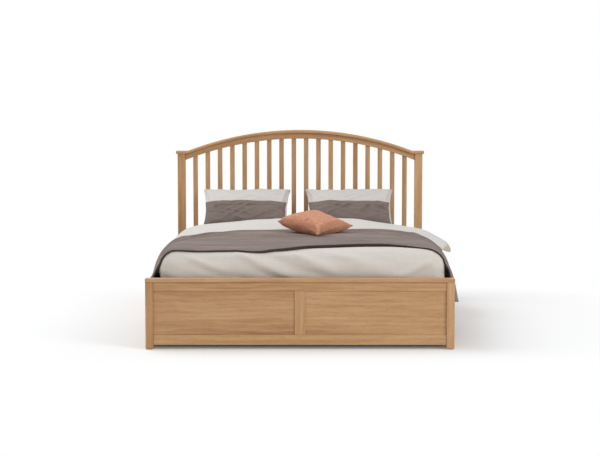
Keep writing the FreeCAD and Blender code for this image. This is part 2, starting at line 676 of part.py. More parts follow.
# Lift mechanism: arms on fixed pins, lift brackets with a long slot for the rear arms' pins
def mechanism():
    front_base, front_tip = ("front_arm_base_y", "front_arm_base_z"), ("front_arm_tip_y", "front_arm_tip_z")
    rear_base, rear_tip = ("rear_arm_base_y", "rear_arm_base_z"), ("rear_arm_tip_y", "rear_arm_tip_z")
    strut_base, strut_tip = ("strut_base_y", "strut_base_z"), ("strut_tip_y", "strut_tip_z")
    base_head_x = "arm_inner_x - side_play"
    base_pin = [("pin_radius", base_head_x, "plate_inner_x"),
                ("pin_head_radius", f"{base_head_x} - pin_head_thickness", base_head_x),
                ("pin_head_radius", "arm_outer_x + side_play", "plate_inner_x")]
    stud_head_x = "strut_eye_inner_x - side_play"
    base_stud = [("pin_radius", stud_head_x, "plate_inner_x"),
                 ("strut_stud_collar_radius", f"{stud_head_x} - pin_head_thickness", stud_head_x),
                 ("strut_stud_collar_radius", "strut_eye_outer_x + side_play", "plate_inner_x")]
    tip_head_x = "arm_outer_x + side_play"
    tip_pin = [("pin_radius", "bracket_outer_x", tip_head_x),
               ("pin_head_radius", tip_head_x, f"{tip_head_x} + pin_head_thickness"),
               ("pin_head_radius", "bracket_outer_x", "arm_inner_x - side_play")]
    tip_stud = [("pin_radius", "strut_eye_outer_x + strut_tip_gap", "bracket_inner_x")]
    slot_head_x = "bracket_inner_x - side_play"
    slot_pin = [("slot_pin_radius", slot_head_x, "arm_inner_x"),
                ("slot_pin_head_radius", f"{slot_head_x} - pin_head_thickness", slot_head_x)]
    groups = {"mech_plate_pins": [], "lift_bracket_pins": [], "rear_arm_pins": []}
    for name, side in sides.items():
        arm(f"front_arm_{name}", side, front_base, front_tip, [front_base, front_tip])
        arm(f"rear_arm_{name}", side, rear_base, rear_tip, [rear_base])
        lift_bracket(name, side)
        for label, rings, (y, z), group in (
                ("front_base_pin", base_pin, front_base, "mech_plate_pins"),
                ("rear_base_pin", base_pin, rear_base, "mech_plate_pins"),
                ("strut_base_stud", base_stud, strut_base, "mech_plate_pins"),
                ("front_tip_pin", tip_pin, front_tip, "lift_bracket_pins"),
                ("strut_tip_stud", tip_stud, strut_tip, "lift_bracket_pins"),
                ("slot_pin", slot_pin, rear_tip, "rear_arm_pins")):
            groups[group].append(stepped_pin(f"{label}_{name}", side, y, z, rings))
    for group, pins in groups.items():
        add_node(group, compound(group, pins))


def lift_bracket(name, side):
    x_span = mirrored(side, "bracket_inner_x", "bracket_outer_x")
    y_span = ("strut_tip_y - bracket_margin", "rear_arm_tip_y + bracket_margin")
    z_span = ("front_arm_tip_z - bracket_drop", "platform_top")
    plate = block(f"lift_bracket_blank_{name}", x_span, y_span, z_span)
    slot_x = mirrored(side, "bracket_inner_x - cut_overrun", "bracket_outer_x + cut_overrun")
    slot_z = "rear_arm_tip_z + slot_rise"
    slot_ends = ("rear_arm_tip_y - slot_travel", "rear_arm_tip_y")
    rounds = [peg(f"slot_end_{name}_{number}", "slot_half_width", slot_x, y, slot_z)
              for number, y in enumerate(slot_ends)]
    middle = block(f"slot_middle_{name}", slot_x, slot_ends,
                   (f"{slot_z} - slot_half_width", f"{slot_z} + slot_half_width"))
    slot = fuse(f"slot_{name}", rounds + [middle])
    add_node(f"lift_bracket_{name}", cut(f"lift_bracket_{name}", plate, slot))


# Gas struts, built along the line from the base stud to the tip stud
def along_strut(label, side, radius, start, length):
    base_y, base_z = value("strut_base_y"), value("strut_base_z")
    angle = math.atan2(value("strut_tip_z") - base_z, value("strut_tip_y") - base_y)
    rod = doc.addObject("Part::Cylinder", label)
    rod.setExpression("Radius", with_sheet(radius))
    rod.Height = length
    foot_y, foot_z = base_y + start * math.cos(angle), base_z + start * math.sin(angle)
    foot = FreeCAD.Vector(side * value("strut_x"), foot_y, foot_z)
    turn = FreeCAD.Rotation(FreeCAD.Vector(1, 0, 0), math.degrees(angle) - 90)
    rod.Placement = FreeCAD.Placement(foot, turn)
    return rod


def gas_struts():
    reach = value("strut_reach")
    neck, tube, cap = value("strut_neck_length"), value("strut_tube_length"), value("strut_cap_length")
    piston = value("strut_piston_start")
    over = value("cut_overrun")
    bore_text = "strut_tube_radius - strut_tube_wall"
    base_eyes, rod_eyes = [], []
    for name, side in sides.items():
        eye_x = mirrored(side, "strut_eye_inner_x", "strut_eye_outer_x")
        bore_x = mirrored(side, "strut_eye_inner_x - cut_overrun", "strut_eye_outer_x + cut_overrun")
        ring = peg(f"base_eye_ring_{name}", "strut_eye_radius", eye_x, "strut_base_y", "strut_base_z")
        base_neck = along_strut(f"base_eye_neck_{name}", side, "strut_neck_radius", 0, neck)
        stud = peg(f"base_eye_bore_{name}", "pin_radius + pin_clearance", bore_x,
                   "strut_base_y", "strut_base_z")
        base_eyes.append(cut(f"base_eye_{name}", fuse(f"base_eye_blank_{name}", [ring, base_neck]), stud))

        barrel = along_strut(f"barrel_{name}", side, "strut_tube_radius", neck, tube)
        bore = along_strut(f"barrel_bore_{name}", side, bore_text, neck + cap, tube - 2 * cap)
        gland = along_strut(f"gland_{name}", side, "strut_rod_radius + strut_rod_clearance",
                            neck + tube - cap - over, cap + 2 * over)
        hollow = fuse(f"barrel_hollow_{name}", [bore, gland])
        add_node(f"strut_cylinder_{name}", cut(f"strut_cylinder_{name}", barrel, hollow))

        rod = along_strut(f"rod_{name}", side, "strut_rod_radius", piston, reach - neck - piston)
        head = along_strut(f"piston_{name}", side, f"{bore_text} - strut_piston_play", piston,
                           value("strut_piston_length"))
        add_node(f"strut_rod_{name}", fuse(f"strut_rod_{name}", [rod, head]))

        socket = peg(f"rod_eye_socket_{name}", "strut_eye_radius", eye_x, "strut_tip_y", "strut_tip_z")
        tip_neck = along_strut(f"rod_eye_neck_{name}", side, "strut_neck_radius", reach - neck, neck)
        rod_eyes.append(fuse(f"rod_eye_{name}", [socket, tip_neck]))
    add_node("strut_base_eyes", compound("strut_base_eyes", base_eyes))
    add_node("strut_rod_eyes", compound("strut_rod_eyes", rod_eyes))


# Platform: a frame of square tubes, two rows of slats in holders and a pull strap at the foot
def hollow_tube(label, x_span, y_span, z_span, along):
    outer = block(f"{label}_outer", x_span, y_span, z_span)
    inner = []
    for axis, (low, high) in zip("xyz", (x_span, y_span, z_span)):
        if axis == along:
            inner.append((f"{low} - cut_overrun", f"{high} + cut_overrun"))
        else:
            inner.append((f"{low} + platform_tube_wall", f"{high} - platform_tube_wall"))
    add_node(label, cut(label, outer, block(f"{label}_inner", *inner)))


def platform():
    tube_z = ("platform_bottom", "platform_top")
    along = ("platform_foot", "platform_head")
    for name, side in sides.items():
        rail_x = mirrored(side, "tube_inner_x", "bracket_inner_x")
        hollow_tube(f"platform_rail_{name}", rail_x, along, tube_z, "y")
    across = ("-tube_inner_x", "tube_inner_x")
    foot_y = ("platform_foot", "platform_foot + platform_tube_width")
    head_y = ("platform_head - platform_tube_width", "platform_head")
    hollow_tube("platform_foot_tube", across, foot_y, tube_z, "x")
    hollow_tube("platform_head_tube", across, head_y, tube_z, "x")
    centre_x = ("-platform_tube_width / 2", "platform_tube_width / 2")
    hollow_tube("platform_centre_tube", centre_x, (foot_y[1], head_y[0]), tube_z, "y")

    slats, holders, slots = [], [], []
    run = "(platform_head - platform_foot - 2 * bed_slat_end_margin - bed_slat_width)"
    for number in range(bed_slat_count):
        share = number / (bed_slat_count - 1)
        low_y = f"platform_foot + bed_slat_end_margin + {share} * {run}"
        slat_y = (low_y, f"{low_y} + bed_slat_width")
        holder_y = (f"{low_y} - slat_holder_side", f"{low_y} + bed_slat_width + slat_holder_side")
        slot_y = (f"{low_y} - bed_slat_clearance", f"{low_y} + bed_slat_width + bed_slat_clearance")
        for name, side in sides.items():
            label = f"{name}_{number}"
            slat_x = mirrored(side, "slat_inner_x", "slat_outer_x")
            slats.append(block(f"bed_slat_{label}", slat_x, slat_y, ("slat_bottom", "slat_top")))
            slot_x = mirrored(side, "slat_inner_x - bed_slat_clearance",
                              "slat_outer_x + bed_slat_clearance")
            slot_z = ("slat_bottom - bed_slat_clearance", "slat_top + bed_slat_clearance")
            slots.append(block(f"slat_slot_{label}", slot_x, slot_y, slot_z))
            ends = {"inner": ("slat_holder_gap", "slat_holder_gap + slat_holder_reach"),
                    "outer": ("bracket_inner_x - slat_holder_reach", "bracket_inner_x")}
            holder_z = ("platform_top", "holder_top")
            for end, (inner, outer) in ends.items():
                holder_x = mirrored(side, inner, outer)
                holders.append(block(f"slat_holder_{end}_{label}", holder_x, holder_y, holder_z))
    add_node("platform_slats", compound("platform_slats", slats))
    holder_blanks = compound("slat_holder_blanks", holders)
    add_node("slat_holders", cut("slat_holders", holder_blanks, compound("slat_slots", slots)))


def pull_strap():
    outer, inner = value("strap_span") / 2, value("strap_span") / 2 - value("strap_width")
    top = value("platform_top")
    bend = value("platform_bottom") - value("strap_drop") + outer
    y = value("platform_foot") - value("strap_thickness")

    def point(x, z):
        return FreeCAD.Vector(x, y, z)
    edges = [
        Part.makeLine(point(-outer, top), point(-outer, bend)),
        Part.Arc(point(-outer, bend), point(0, bend - outer), point(outer, bend)).toShape(),
        Part.makeLine(point(outer, bend), point(outer, top)),
        Part.makeLine(point(outer, top), point(inner, top)),
        Part.makeLine(point(inner, top), point(inner, bend)),
        Part.Arc(point(inner, bend), point(0, bend - inner), point(-inner, bend)).toShape(),
        Part.makeLine(point(-inner, bend), point(-inner, top)),
        Part.makeLine(point(-inner, top), point(-outer, top)),
    ]
    loop = Part.Face(Part.Wire(edges)).extrude(FreeCAD.Vector(0, value("strap_thickness"), 0))
    add_node("pull_strap", feature("pull_strap", loop))


def mattress():
    width, length, depth = (value(f"mattress_{name}") for name in ("width", "length", "thickness"))
    blank = Part.makeBox(width, length, depth)
    upright = [edge for edge in blank.Edges if edge.BoundBox.ZLength > depth / 2]
    shape = blank.makeFillet(value("mattress_corner_radius"), upright)
    for height, name in ((depth, "mattress_top_radius"), (0, "mattress_bottom_radius")):
        rim = [edge for edge in shape.Edges
               if abs(edge.BoundBox.ZMin - height) < value("panel_clearance")
               and abs(edge.BoundBox.ZMax - height) < value("panel_clearance")]
        shape = shape.makeFillet(value(name), rim)
    corner = FreeCAD.Vector(-width / 2, value("platform_foot"), value("mattress_bottom"))
    add_node("mattress", feature("mattress", shape, FreeCAD.Placement(corner, FreeCAD.Rotation())))


# One side of a cloth's cross-section: shoulder, knee and hem, outside and inside, as (x, z) pairs
def fall_points(shoulder, knee, hem, radius, thickness):
    first = math.atan2(shoulder[1] - knee[1], knee[0] - shoulder[0])
    second = math.atan2(knee[1] - hem[1], hem[0] - knee[0])
    first_out = (math.sin(first), math.cos(first))
    second_out = (math.sin(second), math.cos(second))
    lead = radius * math.tan(first / 2)
    centre = (shoulder[0] - lead, shoulder[1] - radius)
    spread = 1 + first_out[0] * second_out[0] + first_out[1] * second_out[1]
    both = (first_out[0] + second_out[0], first_out[1] + second_out[1])
    faces = []
    for depth in (0, thickness):
        bend = radius - depth
        faces.append({
            "start": (centre[0], centre[1] + bend),
            "middle": (centre[0] + bend * math.sin(first / 2), centre[1] + bend * math.cos(first / 2)),
            "end": (centre[0] + bend * first_out[0], centre[1] + bend * first_out[1]),
            "knee": (knee[0] - depth * both[0] / spread, knee[1] - depth * both[1] / spread),
            "hem": (hem[0] - depth * second_out[0], hem[1] - depth * second_out[1]),
        })
    return faces


# A closed cross-section of a cloth that lies on the bed and falls on both sides, at one place along Y
def cloth_section(y, top, crown, thickness, radius, falls):
    faces = {side: fall_points(*falls[side], radius, thickness) for side in falls}

    def spot(side, face, name):
        x, z = faces[side][face][name]
        return FreeCAD.Vector(side * x, y, z)

    def line(side, face, first, second):
        return Part.makeLine(spot(side, face, first), spot(side, face, second))

    def shoulder(side, face):
        return Part.Arc(*(spot(side, face, name) for name in ("start", "middle", "end"))).toShape()

    def crest(face):
        middle = FreeCAD.Vector(0, y, top - face * thickness + crown)
        return Part.Arc(spot(-1, face, "start"), middle, spot(1, face, "start")).toShape()

    def hem(side):
        return Part.makeLine(spot(side, 0, "hem"), spot(side, 1, "hem"))
    outside = [line(-1, 0, "hem", "knee"), line(-1, 0, "knee", "end"), shoulder(-1, 0), crest(0)]
    outside += [shoulder(1, 0), line(1, 0, "end", "knee"), line(1, 0, "knee", "hem"), hem(1)]
    inside = [line(1, 1, "hem", "knee"), line(1, 1, "knee", "end"), shoulder(1, 1), crest(1)]
    inside += [shoulder(-1, 1), line(-1, 1, "end", "knee"), line(-1, 1, "knee", "hem"), hem(-1)]
    return Part.Wire(outside + inside)


def fall(shoulder_x, top, reach, drop, knee_reach_share, knee_drop_share, reach_share, drop_share):
    knee = (shoulder_x + knee_reach_share * reach, top - knee_drop_share * drop)
    hem = (shoulder_x + reach_share * reach, top - drop_share * drop)
    return (shoulder_x, top), knee, hem


# Duvet: each place along it, then the left and the right side's knee and hem
duvet_fall_shares = [
    (0.00, (0.20, 0.28, 0.24, 0.40), (0.22, 0.14, 0.30, 0.34)),
    (0.30, (0.20, 0.28, 0.24, 0.40), (0.28, 0.18, 0.44, 0.46)),
    (0.40, (0.36, 0.36, 0.60, 0.95), (0.80, 0.52, 0.90, 0.84)),
    (0.52, (0.40, 0.42, 0.68, 1.15), (0.86, 0.58, 0.945, 0.94)),
    (0.64, (0.36, 0.38, 0.62, 1.02), (0.78, 0.52, 0.87, 0.84)),
    (0.78, (0.40, 0.42, 0.66, 1.12), (0.84, 0.57, 0.92, 0.92)),
    (0.90, (0.32, 0.34, 0.54, 0.80), (0.66, 0.46, 0.74, 0.76)),
    (1.00, (0.20, 0.20, 0.32, 0.46), (0.30, 0.22, 0.40, 0.46)),
]

# Throw: the same, with how far each place has climbed from the mattress onto the duvet
throw_fall_shares = [
    (0.00, 0.0, (0.36, 0.19, 0.48, 0.40), (0.36, 0.19, 0.48, 0.40)),
    (0.12, 0.0, (0.45, 0.30, 0.62, 0.72), (0.48, 0.30, 0.66, 0.74)),
    (0.28, 0.0, (0.50, 0.35, 0.62, 0.92), (0.58, 0.33, 0.86, 1.00)),
    (0.44, 0.0, (0.50, 0.34, 0.62, 0.86), (0.53, 0.31, 0.80, 0.96)),
    (0.59, 0.0, (0.50, 0.34, 0.64, 0.92), (0.62, 0.30, 0.96, 1.00)),
    (0.68, 1.0, (0.30, 0.14, 0.72, 0.90), (0.68, 0.15, 0.94, 1.00)),
    (0.84, 1.0, (0.29, 0.135, 0.80, 0.88), (0.66, 0.14, 0.90, 0.96)),
    (1.00, 1.0, (0.31, 0.14, 0.94, 0.88), (0.72, 0.15, 0.98, 0.94)),
]


def duvet():
    start, run = value("duvet_foot_y"), value("duvet_head_y") - value("duvet_foot_y")
    top = value("duvet_top")
    fixed = (value("duvet_shoulder_x"), top, value("duvet_flap_reach"), value("duvet_flap_drop"))
    sections = []
    for along, *side_shares in duvet_fall_shares:
        falls = {side: fall(*fixed, *shares) for side, shares in zip(sides.values(), side_shares)}
        sections.append(cloth_section(start + along * run, top, value("duvet_crown"),
                                      value("duvet_thickness"), value("duvet_shoulder_radius"), falls))
    add_node("duvet", feature("duvet", Part.makeLoft(sections, True, True)))


def throw():
    start, run = value("throw_foot_y"), value("throw_head_y") - value("throw_foot_y")
    low, high = value("throw_low_top"), value("throw_high_top")
    radius = value("duvet_shoulder_radius") + value("throw_duvet_gap") + value("throw_thickness")
    sections = []
    for along, climb, *side_shares in throw_fall_shares:
        top = low + climb * (high - low)
        fixed = (value("duvet_shoulder_x"), top, value("throw_fall_reach"), value("throw_fall_drop"))
        falls = {side: fall(*fixed, *shares) for side, shares in zip(sides.values(), side_shares)}
        sections.append(cloth_section(start + along * run, top, value("duvet_crown"),
                                      value("throw_thickness"), radius, falls))
    add_node("throw", feature("throw", Part.makeLoft(sections, True, True)))


# Places across a pillow's width, and there its fullness and its length
pillow_shares = [
    (-1.00, 0.07, 1.00),
    (-0.94, 0.30, 0.985),
    (-0.78, 0.64, 0.965),
    (-0.44, 0.92, 0.95),
    (0.00, 1.00, 0.945),
    (0.44, 0.92, 0.95),
    (0.78, 0.64, 0.965),
    (0.94, 0.30, 0.985),
    (1.00, 0.07, 1.00),
]


# A pillow standing upright about its centre: its front towards -Y, crowned, with drawn-in sides
def pillow_form(width, length, front, back):
    sections = []
    for across, fullness, stretch in pillow_shares:
        x = across * width / 2
        top = FreeCAD.Vector(x, 0, stretch * length / 2)
        bottom = FreeCAD.Vector(x, 0, -stretch * length / 2)
        front_arc = Part.Arc(bottom, FreeCAD.Vector(x, -front * fullness, 0), top).toShape()
        back_arc = Part.Arc(top, FreeCAD.Vector(x, back * fullness, 0), bottom).toShape()
        sections.append(Part.Wire([front_arc, back_arc]))
    form = Part.makeLoft(sections, True, True)
    draw = value("pillow_side_draw")
    radius = (length ** 2 / 4 + draw ** 2) / (2 * draw)
    depth = front + back
    for side in sides.values():
        centre = FreeCAD.Vector(side * (width / 2 - draw + radius), -depth, 0)
        form = form.cut(Part.makeCylinder(radius, 2 * depth, centre, FreeCAD.Vector(0, 1, 0)))
    return form


# Places a form and takes away what would lie below the surface that it rests on
def rest_form(form, placement, floor_z):
    placed = form.copy()
    placed.Placement = placement
    box = placed.BoundBox
    if box.ZMin >= floor_z:
        return placed
    over = value("cut_overrun")
    corner = FreeCAD.Vector(box.XMin - over, box.YMin - over, box.ZMin - over)
    below = Part.makeBox(box.XLength + 2 * over, box.YLength + 2 * over, floor_z - box.ZMin + over, corner)
    return placed.cut(below)


def pillows():
    clear = value("bedding_clearance")
    duvet_crest = value("duvet_top") + value("duvet_crown")
    floors = {"back": value("mattress_top") + clear, "front": duvet_crest + clear}
    for row, floor_z in floors.items():
        def get(name):
            return value(f"{row}_pillow_{name}")
        form = pillow_form(get("width"), get("length"), get("front_bulge"), get("back_bulge"))
        lean = FreeCAD.Rotation(FreeCAD.Vector(1, 0, 0), get("lean_angle") - 90)
        for name, side in sides.items():
            x = side * (value("mattress_width") / 2 - get(f"{name}_inset"))
            centre = FreeCAD.Vector(x, get("y"), value("mattress_top") + get("rise"))
            shape = rest_form(form, FreeCAD.Placement(centre, lean), floor_z)
            add_node(f"pillow_{row}_{name}", feature(f"pillow_{row}_{name}", shape))


def accent_cushion():
    side, half = value("cushion_side"), value("cushion_half_thickness")
    form = pillow_form(side, side, half, half)
    flat = FreeCAD.Rotation(FreeCAD.Vector(1, 0, 0), -90)
    turn = FreeCAD.Rotation(FreeCAD.Vector(0, 0, 1), value("cushion_turn_angle"))
    tilt = FreeCAD.Rotation(FreeCAD.Vector(1, 0, 0), value("cushion_tilt_angle"))
    roll = FreeCAD.Rotation(FreeCAD.Vector(0, 1, 0), value("cushion_roll_angle"))
    surface = value("throw_high_top") + value("duvet_crown") + value("bedding_clearance")
    centre = FreeCAD.Vector(value("cushion_x"), value("cushion_y"), surface + value("cushion_rise"))
    placement = FreeCAD.Placement(centre, roll.multiply(tilt).multiply(turn).multiply(flat))
    add_node("accent_cushion", feature("accent_cushion", rest_form(form, placement, surface)))


footboard()
headboard()
sides_of_box()
storage_floor()
mechanism()
gas_struts()
platform()
pull_strap()
mattress()
duvet()
throw()
pillows()
accent_cushion()

doc.recompute()
for piece in doc.Objects:
    if "Invalid" in piece.State or "Error" in piece.State:
        raise RuntimeError(f"{piece.Label} did not build")
for name, piece in nodes.items():
    if piece.Shape.isNull() or not piece.Shape.isValid() or not piece.Shape.Solids:
        raise RuntimeError(f"{name} has no sound solid")

os.makedirs("parts", exist_ok=True)
for name, piece in nodes.items():
    piece.Shape.exportStep(f"parts/{name}.step")
    solids = len(piece.Shape.Solids)
    print(f"{name}: {solids} solid(s), {piece.Shape.Volume / 1e3:.1f} cm3")
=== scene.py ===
import bmesh
import bpy
import math
from mathutils import Matrix, Vector, noise
from mathutils.bvhtree import BVHTree


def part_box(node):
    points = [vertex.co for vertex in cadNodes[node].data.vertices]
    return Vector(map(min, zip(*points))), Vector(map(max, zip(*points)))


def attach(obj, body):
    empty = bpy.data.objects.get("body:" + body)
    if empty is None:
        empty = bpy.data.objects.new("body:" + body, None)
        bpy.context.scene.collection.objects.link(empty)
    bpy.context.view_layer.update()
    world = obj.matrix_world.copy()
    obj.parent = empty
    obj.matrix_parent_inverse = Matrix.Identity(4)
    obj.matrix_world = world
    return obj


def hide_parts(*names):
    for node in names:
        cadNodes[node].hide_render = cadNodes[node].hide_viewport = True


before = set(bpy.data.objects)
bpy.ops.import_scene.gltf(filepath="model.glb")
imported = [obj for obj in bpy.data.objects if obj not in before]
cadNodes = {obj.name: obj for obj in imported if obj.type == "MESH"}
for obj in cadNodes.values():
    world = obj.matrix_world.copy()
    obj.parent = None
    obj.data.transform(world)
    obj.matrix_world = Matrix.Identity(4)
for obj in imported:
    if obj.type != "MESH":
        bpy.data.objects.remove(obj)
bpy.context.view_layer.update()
scene = bpy.context.scene
print("frame loaded,", len(cadNodes), "nodes")


# Node helpers: a socket is linked to an input, any other value is set on it
def feed(tree, inputs, values):
    for name, value in values.items():
        if isinstance(value, bpy.types.NodeSocket):
            tree.links.new(value, inputs[name])
        else:
            inputs[name].default_value = value


def put(tree, kind, options=None, inputs=None):
    made = tree.nodes.new(kind)
    for name, setting in (options or {}).items():
        setattr(made, name, setting)
    feed(tree, made.inputs, inputs or {})
    return made


def calc(tree, operation, *values):
    inputs = dict(enumerate(values))
    return put(tree, "ShaderNodeMath", {"operation": operation}, inputs).outputs[0]


def ranged(tree, value, low, high, toLow=0.0, toHigh=1.0):
    return put(tree, "ShaderNodeMapRange", {"clamp": True}, {
        "Value": value, "From Min": low, "From Max": high,
        "To Min": toLow, "To Max": toHigh}).outputs[0]


def stretched(tree, vector, scale, shift=(0.0, 0.0, 0.0)):
    return put(tree, "ShaderNodeMapping", inputs={
        "Vector": vector, "Scale": scale, "Location": shift}).outputs[0]


def speckle(tree, vector, scale, detail=2.0, roughness=0.5):
    return put(tree, "ShaderNodeTexNoise", inputs={
        "Vector": vector, "Scale": scale, "Detail": detail, "Roughness": roughness})


# Noise drawn out along an axis
def streaky(tree, vector, scale, detail=2.0, roughness=0.5):
    return speckle(tree, stretched(tree, vector, scale), 1.0, detail, roughness).outputs["Fac"]


def axes(tree, vector):
    return put(tree, "ShaderNodeSeparateXYZ", inputs={"Vector": vector}).outputs


def mixed(tree, factor, first, second, mode="MIX"):
    return put(tree, "ShaderNodeMix", {"data_type": "RGBA", "blend_type": mode},
               {0: factor, 6: first, 7: second}).outputs[2]


def ramp(tree, value, stops):
    made = put(tree, "ShaderNodeValToRGB", inputs={"Fac": value})
    band = made.color_ramp
    while len(band.elements) < len(stops):
        band.elements.new(0.5)
    for element, (spot, color) in zip(band.elements, stops):
        element.position = spot
        element.color = (*color, 1.0)
    return made.outputs["Color"]


def srgb(red, green, blue):
    def linear(part):
        part /= 255
        return part / 12.92 if part <= 0.04045 else ((part + 0.055) / 1.055) ** 2.4
    return linear(red), linear(green), linear(blue)


def newGroup(name, inputs, outputs):
    tree = bpy.data.node_groups.new(name, "ShaderNodeTree")
    kinds = {"vector": "NodeSocketVector", "value": "NodeSocketFloat", "color": "NodeSocketColor"}
    for label, kind, start in inputs:
        made = tree.interface.new_socket(label, in_out="INPUT", socket_type=kinds[kind])
        if start is not None:
            made.default_value = start
    for label, kind in outputs:
        tree.interface.new_socket(label, in_out="OUTPUT", socket_type=kinds[kind])
    given = tree.nodes.new("NodeGroupInput").outputs
    result = tree.nodes.new("NodeGroupOutput").inputs
    return tree, given, result


def useGroup(tree, group, inputs):
    return put(tree, "ShaderNodeGroup", {"node_tree": group}, inputs).outputs


# Oak: growth rings cut lengthways, wandering fibres and short dark pores; the grain runs along X
oakColors = {
    "dark": srgb(158, 113, 73),
    "middle": srgb(186, 144, 101),
    "light": srgb(202, 163, 118),
    "pore": srgb(128, 88, 55),
}
oakScales = {
    "wander": (1.3, 5.0, 5.0), "fibres": (4.5, 130.0, 130.0), "streaks": (3.6, 46.0, 46.0),
    "broad": (1.4, 11.0, 11.0), "pores": (22.0, 620.0, 620.0),
}
oakWeights = {"rings": 0.10, "fibres": 0.28, "streaks": 0.60, "broad": 0.42, "pores": 0.45}


def buildOakFigure():
    tree, given, result = newGroup(
        "oakFigure", [("Vector", "vector", None), ("Shift", "value", 0.0), ("Tone", "value", 0.0)],
        [("Color", "color"), ("Roughness", "value"), ("Height", "value")])
    shift = given["Shift"]
    offset = put(tree, "ShaderNodeCombineXYZ", inputs={
        "X": calc(tree, "MULTIPLY", shift, 2.73),
        "Y": calc(tree, "MULTIPLY", shift, 0.83),
        "Z": calc(tree, "MULTIPLY", shift, 1.31)}).outputs[0]
    moved = stretched(tree, given["Vector"], (1.0, 1.0, 1.0), offset)
    wander = speckle(tree, stretched(tree, moved, oakScales["wander"]), 1.0).outputs["Color"]
    pulled = put(tree, "ShaderNodeVectorMath", {"operation": "MULTIPLY_ADD"}, {
        0: wander, 1: (0.0, 0.05, 0.05), 2: moved}).outputs[0]
    rings = put(tree, "ShaderNodeTexWave", {
        "wave_type": "RINGS", "rings_direction": "X", "wave_profile": "SIN"}, {
        "Vector": stretched(tree, pulled, (0.10, 1.0, 1.0), (0.0, 0.13, 0.35)),
        "Scale": 13.0, "Distortion": 4.5, "Detail": 3.0, "Detail Scale": 1.8}).outputs["Fac"]
    fibres = streaky(tree, pulled, oakScales["fibres"], 3.0, 0.6)
    streaks = streaky(tree, pulled, oakScales["streaks"], 3.0, 0.55)
    broad = streaky(tree, pulled, oakScales["broad"])
    poreMask = ranged(tree, streaky(tree, pulled, oakScales["pores"], 1.0), 0.60, 0.72)
    figure = calc(tree, "MULTIPLY", rings, oakWeights["rings"])
    for name, part in (("fibres", fibres), ("streaks", streaks), ("broad", broad)):
        figure = calc(tree, "MULTIPLY_ADD", part, oakWeights[name], figure)
    figure = calc(tree, "ADD", figure, given["Tone"])
    color = ramp(tree, ranged(tree, figure, 0.40, 1.00), [
        (0.0, oakColors["dark"]), (0.5, oakColors["middle"]), (1.0, oakColors["light"])])
    stain = calc(tree, "MULTIPLY", poreMask, oakWeights["pores"])
    color = mixed(tree, stain, color, (*oakColors["pore"], 1.0))
    relief = calc(tree, "MULTIPLY_ADD", poreMask, -0.8, calc(tree, "MULTIPLY", fibres, 0.35))
    feed(tree, result, {"Color": color, "Roughness": ranged(tree, fibres, 0.3, 0.7, 0.52, 0.42),
                        "Height": relief})
    return tree


# Woven cloth: threads passing over and under each other, with uneven thickness
def buildPlainWeave():
    tree, given, result = newGroup(
        "plainWeave", [("Vector", "vector", None), ("Pitch", "value", 0.0015), ("Slub", "value", 0.3)],
        [("Height", "value"), ("Shade", "value")])
    parts = axes(tree, given["Vector"])
    uneven, turns, threads = {}, [], []
    for name, axis, scale in (("warp", "X", (9.0, 160.0, 1.0)), ("weft", "Y", (160.0, 9.0, 1.0))):
        uneven[name] = streaky(tree, given["Vector"], scale)
        slub = calc(tree, "MULTIPLY", calc(tree, "SUBTRACT", uneven[name], 0.5), given["Slub"])
        place = calc(tree, "DIVIDE", parts[axis], given["Pitch"])
        place = calc(tree, "ADD", place, calc(tree, "MULTIPLY", slub, 2.0))
        turns.append(calc(tree, "FLOOR", place))
        wave = calc(tree, "SINE", calc(tree, "MULTIPLY", place, math.pi))
        threads.append(calc(tree, "ABSOLUTE", wave))
    over = calc(tree, "PINGPONG", calc(tree, "ADD", *turns), 1.0)
    warpUp = calc(tree, "MULTIPLY", threads[0], calc(tree, "MULTIPLY_ADD", over, 0.6, 0.4))
    weftUp = calc(tree, "MULTIPLY", threads[1], calc(tree, "MULTIPLY_ADD", over, -0.6, 1.0))
    both = calc(tree, "ADD", uneven["warp"], uneven["weft"])
    feed(tree, result, {"Height": calc(tree, "MAXIMUM", warpUp, weftUp),
                        "Shade": calc(tree, "MULTIPLY", both, 0.5)})
    return tree


# Slow drift of tone over a surface, with a finer grain in it
def buildToneDrift():
    tree, given, result = newGroup(
        "toneDrift", [("Vector", "vector", None), ("Scale", "value", 6.0), ("Amount", "value", 0.1)],
        [("Shade", "value")])
    drift = speckle(tree, given["Vector"], given["Scale"], 4.0, 0.62).outputs["Fac"]
    centred = calc(tree, "SUBTRACT", drift, 0.5)
    feed(tree, result, {"Shade": calc(tree, "MULTIPLY_ADD", centred, given["Amount"], 1.0)})
    return tree


# Fine pimples of a powder coat or a moulded grain
def buildFineGrain():
    tree, given, result = newGroup(
        "fineGrain", [("Vector", "vector", None), ("Scale", "value", 900.0), ("Wear", "value", 0.1)],
        [("Height", "value"), ("Roughness", "value"), ("Shade", "value")])
    fine = speckle(tree, given["Vector"], given["Scale"]).outputs["Fac"]
    broad = speckle(tree, given["Vector"], 14.0, 4.0, 0.6).outputs["Fac"]
    centred = calc(tree, "SUBTRACT", broad, 0.5)
    feed(tree, result, {"Height": fine, "Roughness": ranged(tree, broad, 0.3, 0.7, 0.36, 0.52),
                        "Shade": calc(tree, "MULTIPLY_ADD", centred, given["Wear"], 1.0)})
    return tree


oakFigure = buildOakFigure()
plainWeave = buildPlainWeave()
toneDrift = buildToneDrift()
fineGrain = buildFineGrain()


def newMaterial(name):
    material = bpy.data.materials.new(name)
    material.use_nodes = True
    tree = material.node_tree
    shader = tree.nodes["Principled BSDF"]
    spots = put(tree, "ShaderNodeTexCoord").outputs
    return material, tree, shader, spots


def bumped(tree, shader, height, strength, distance):
    made = put(tree, "ShaderNodeBump", inputs={
        "Height": height, "Strength": strength, "Distance": distance})
    tree.links.new(made.outputs["Normal"], shader.inputs["Normal"])


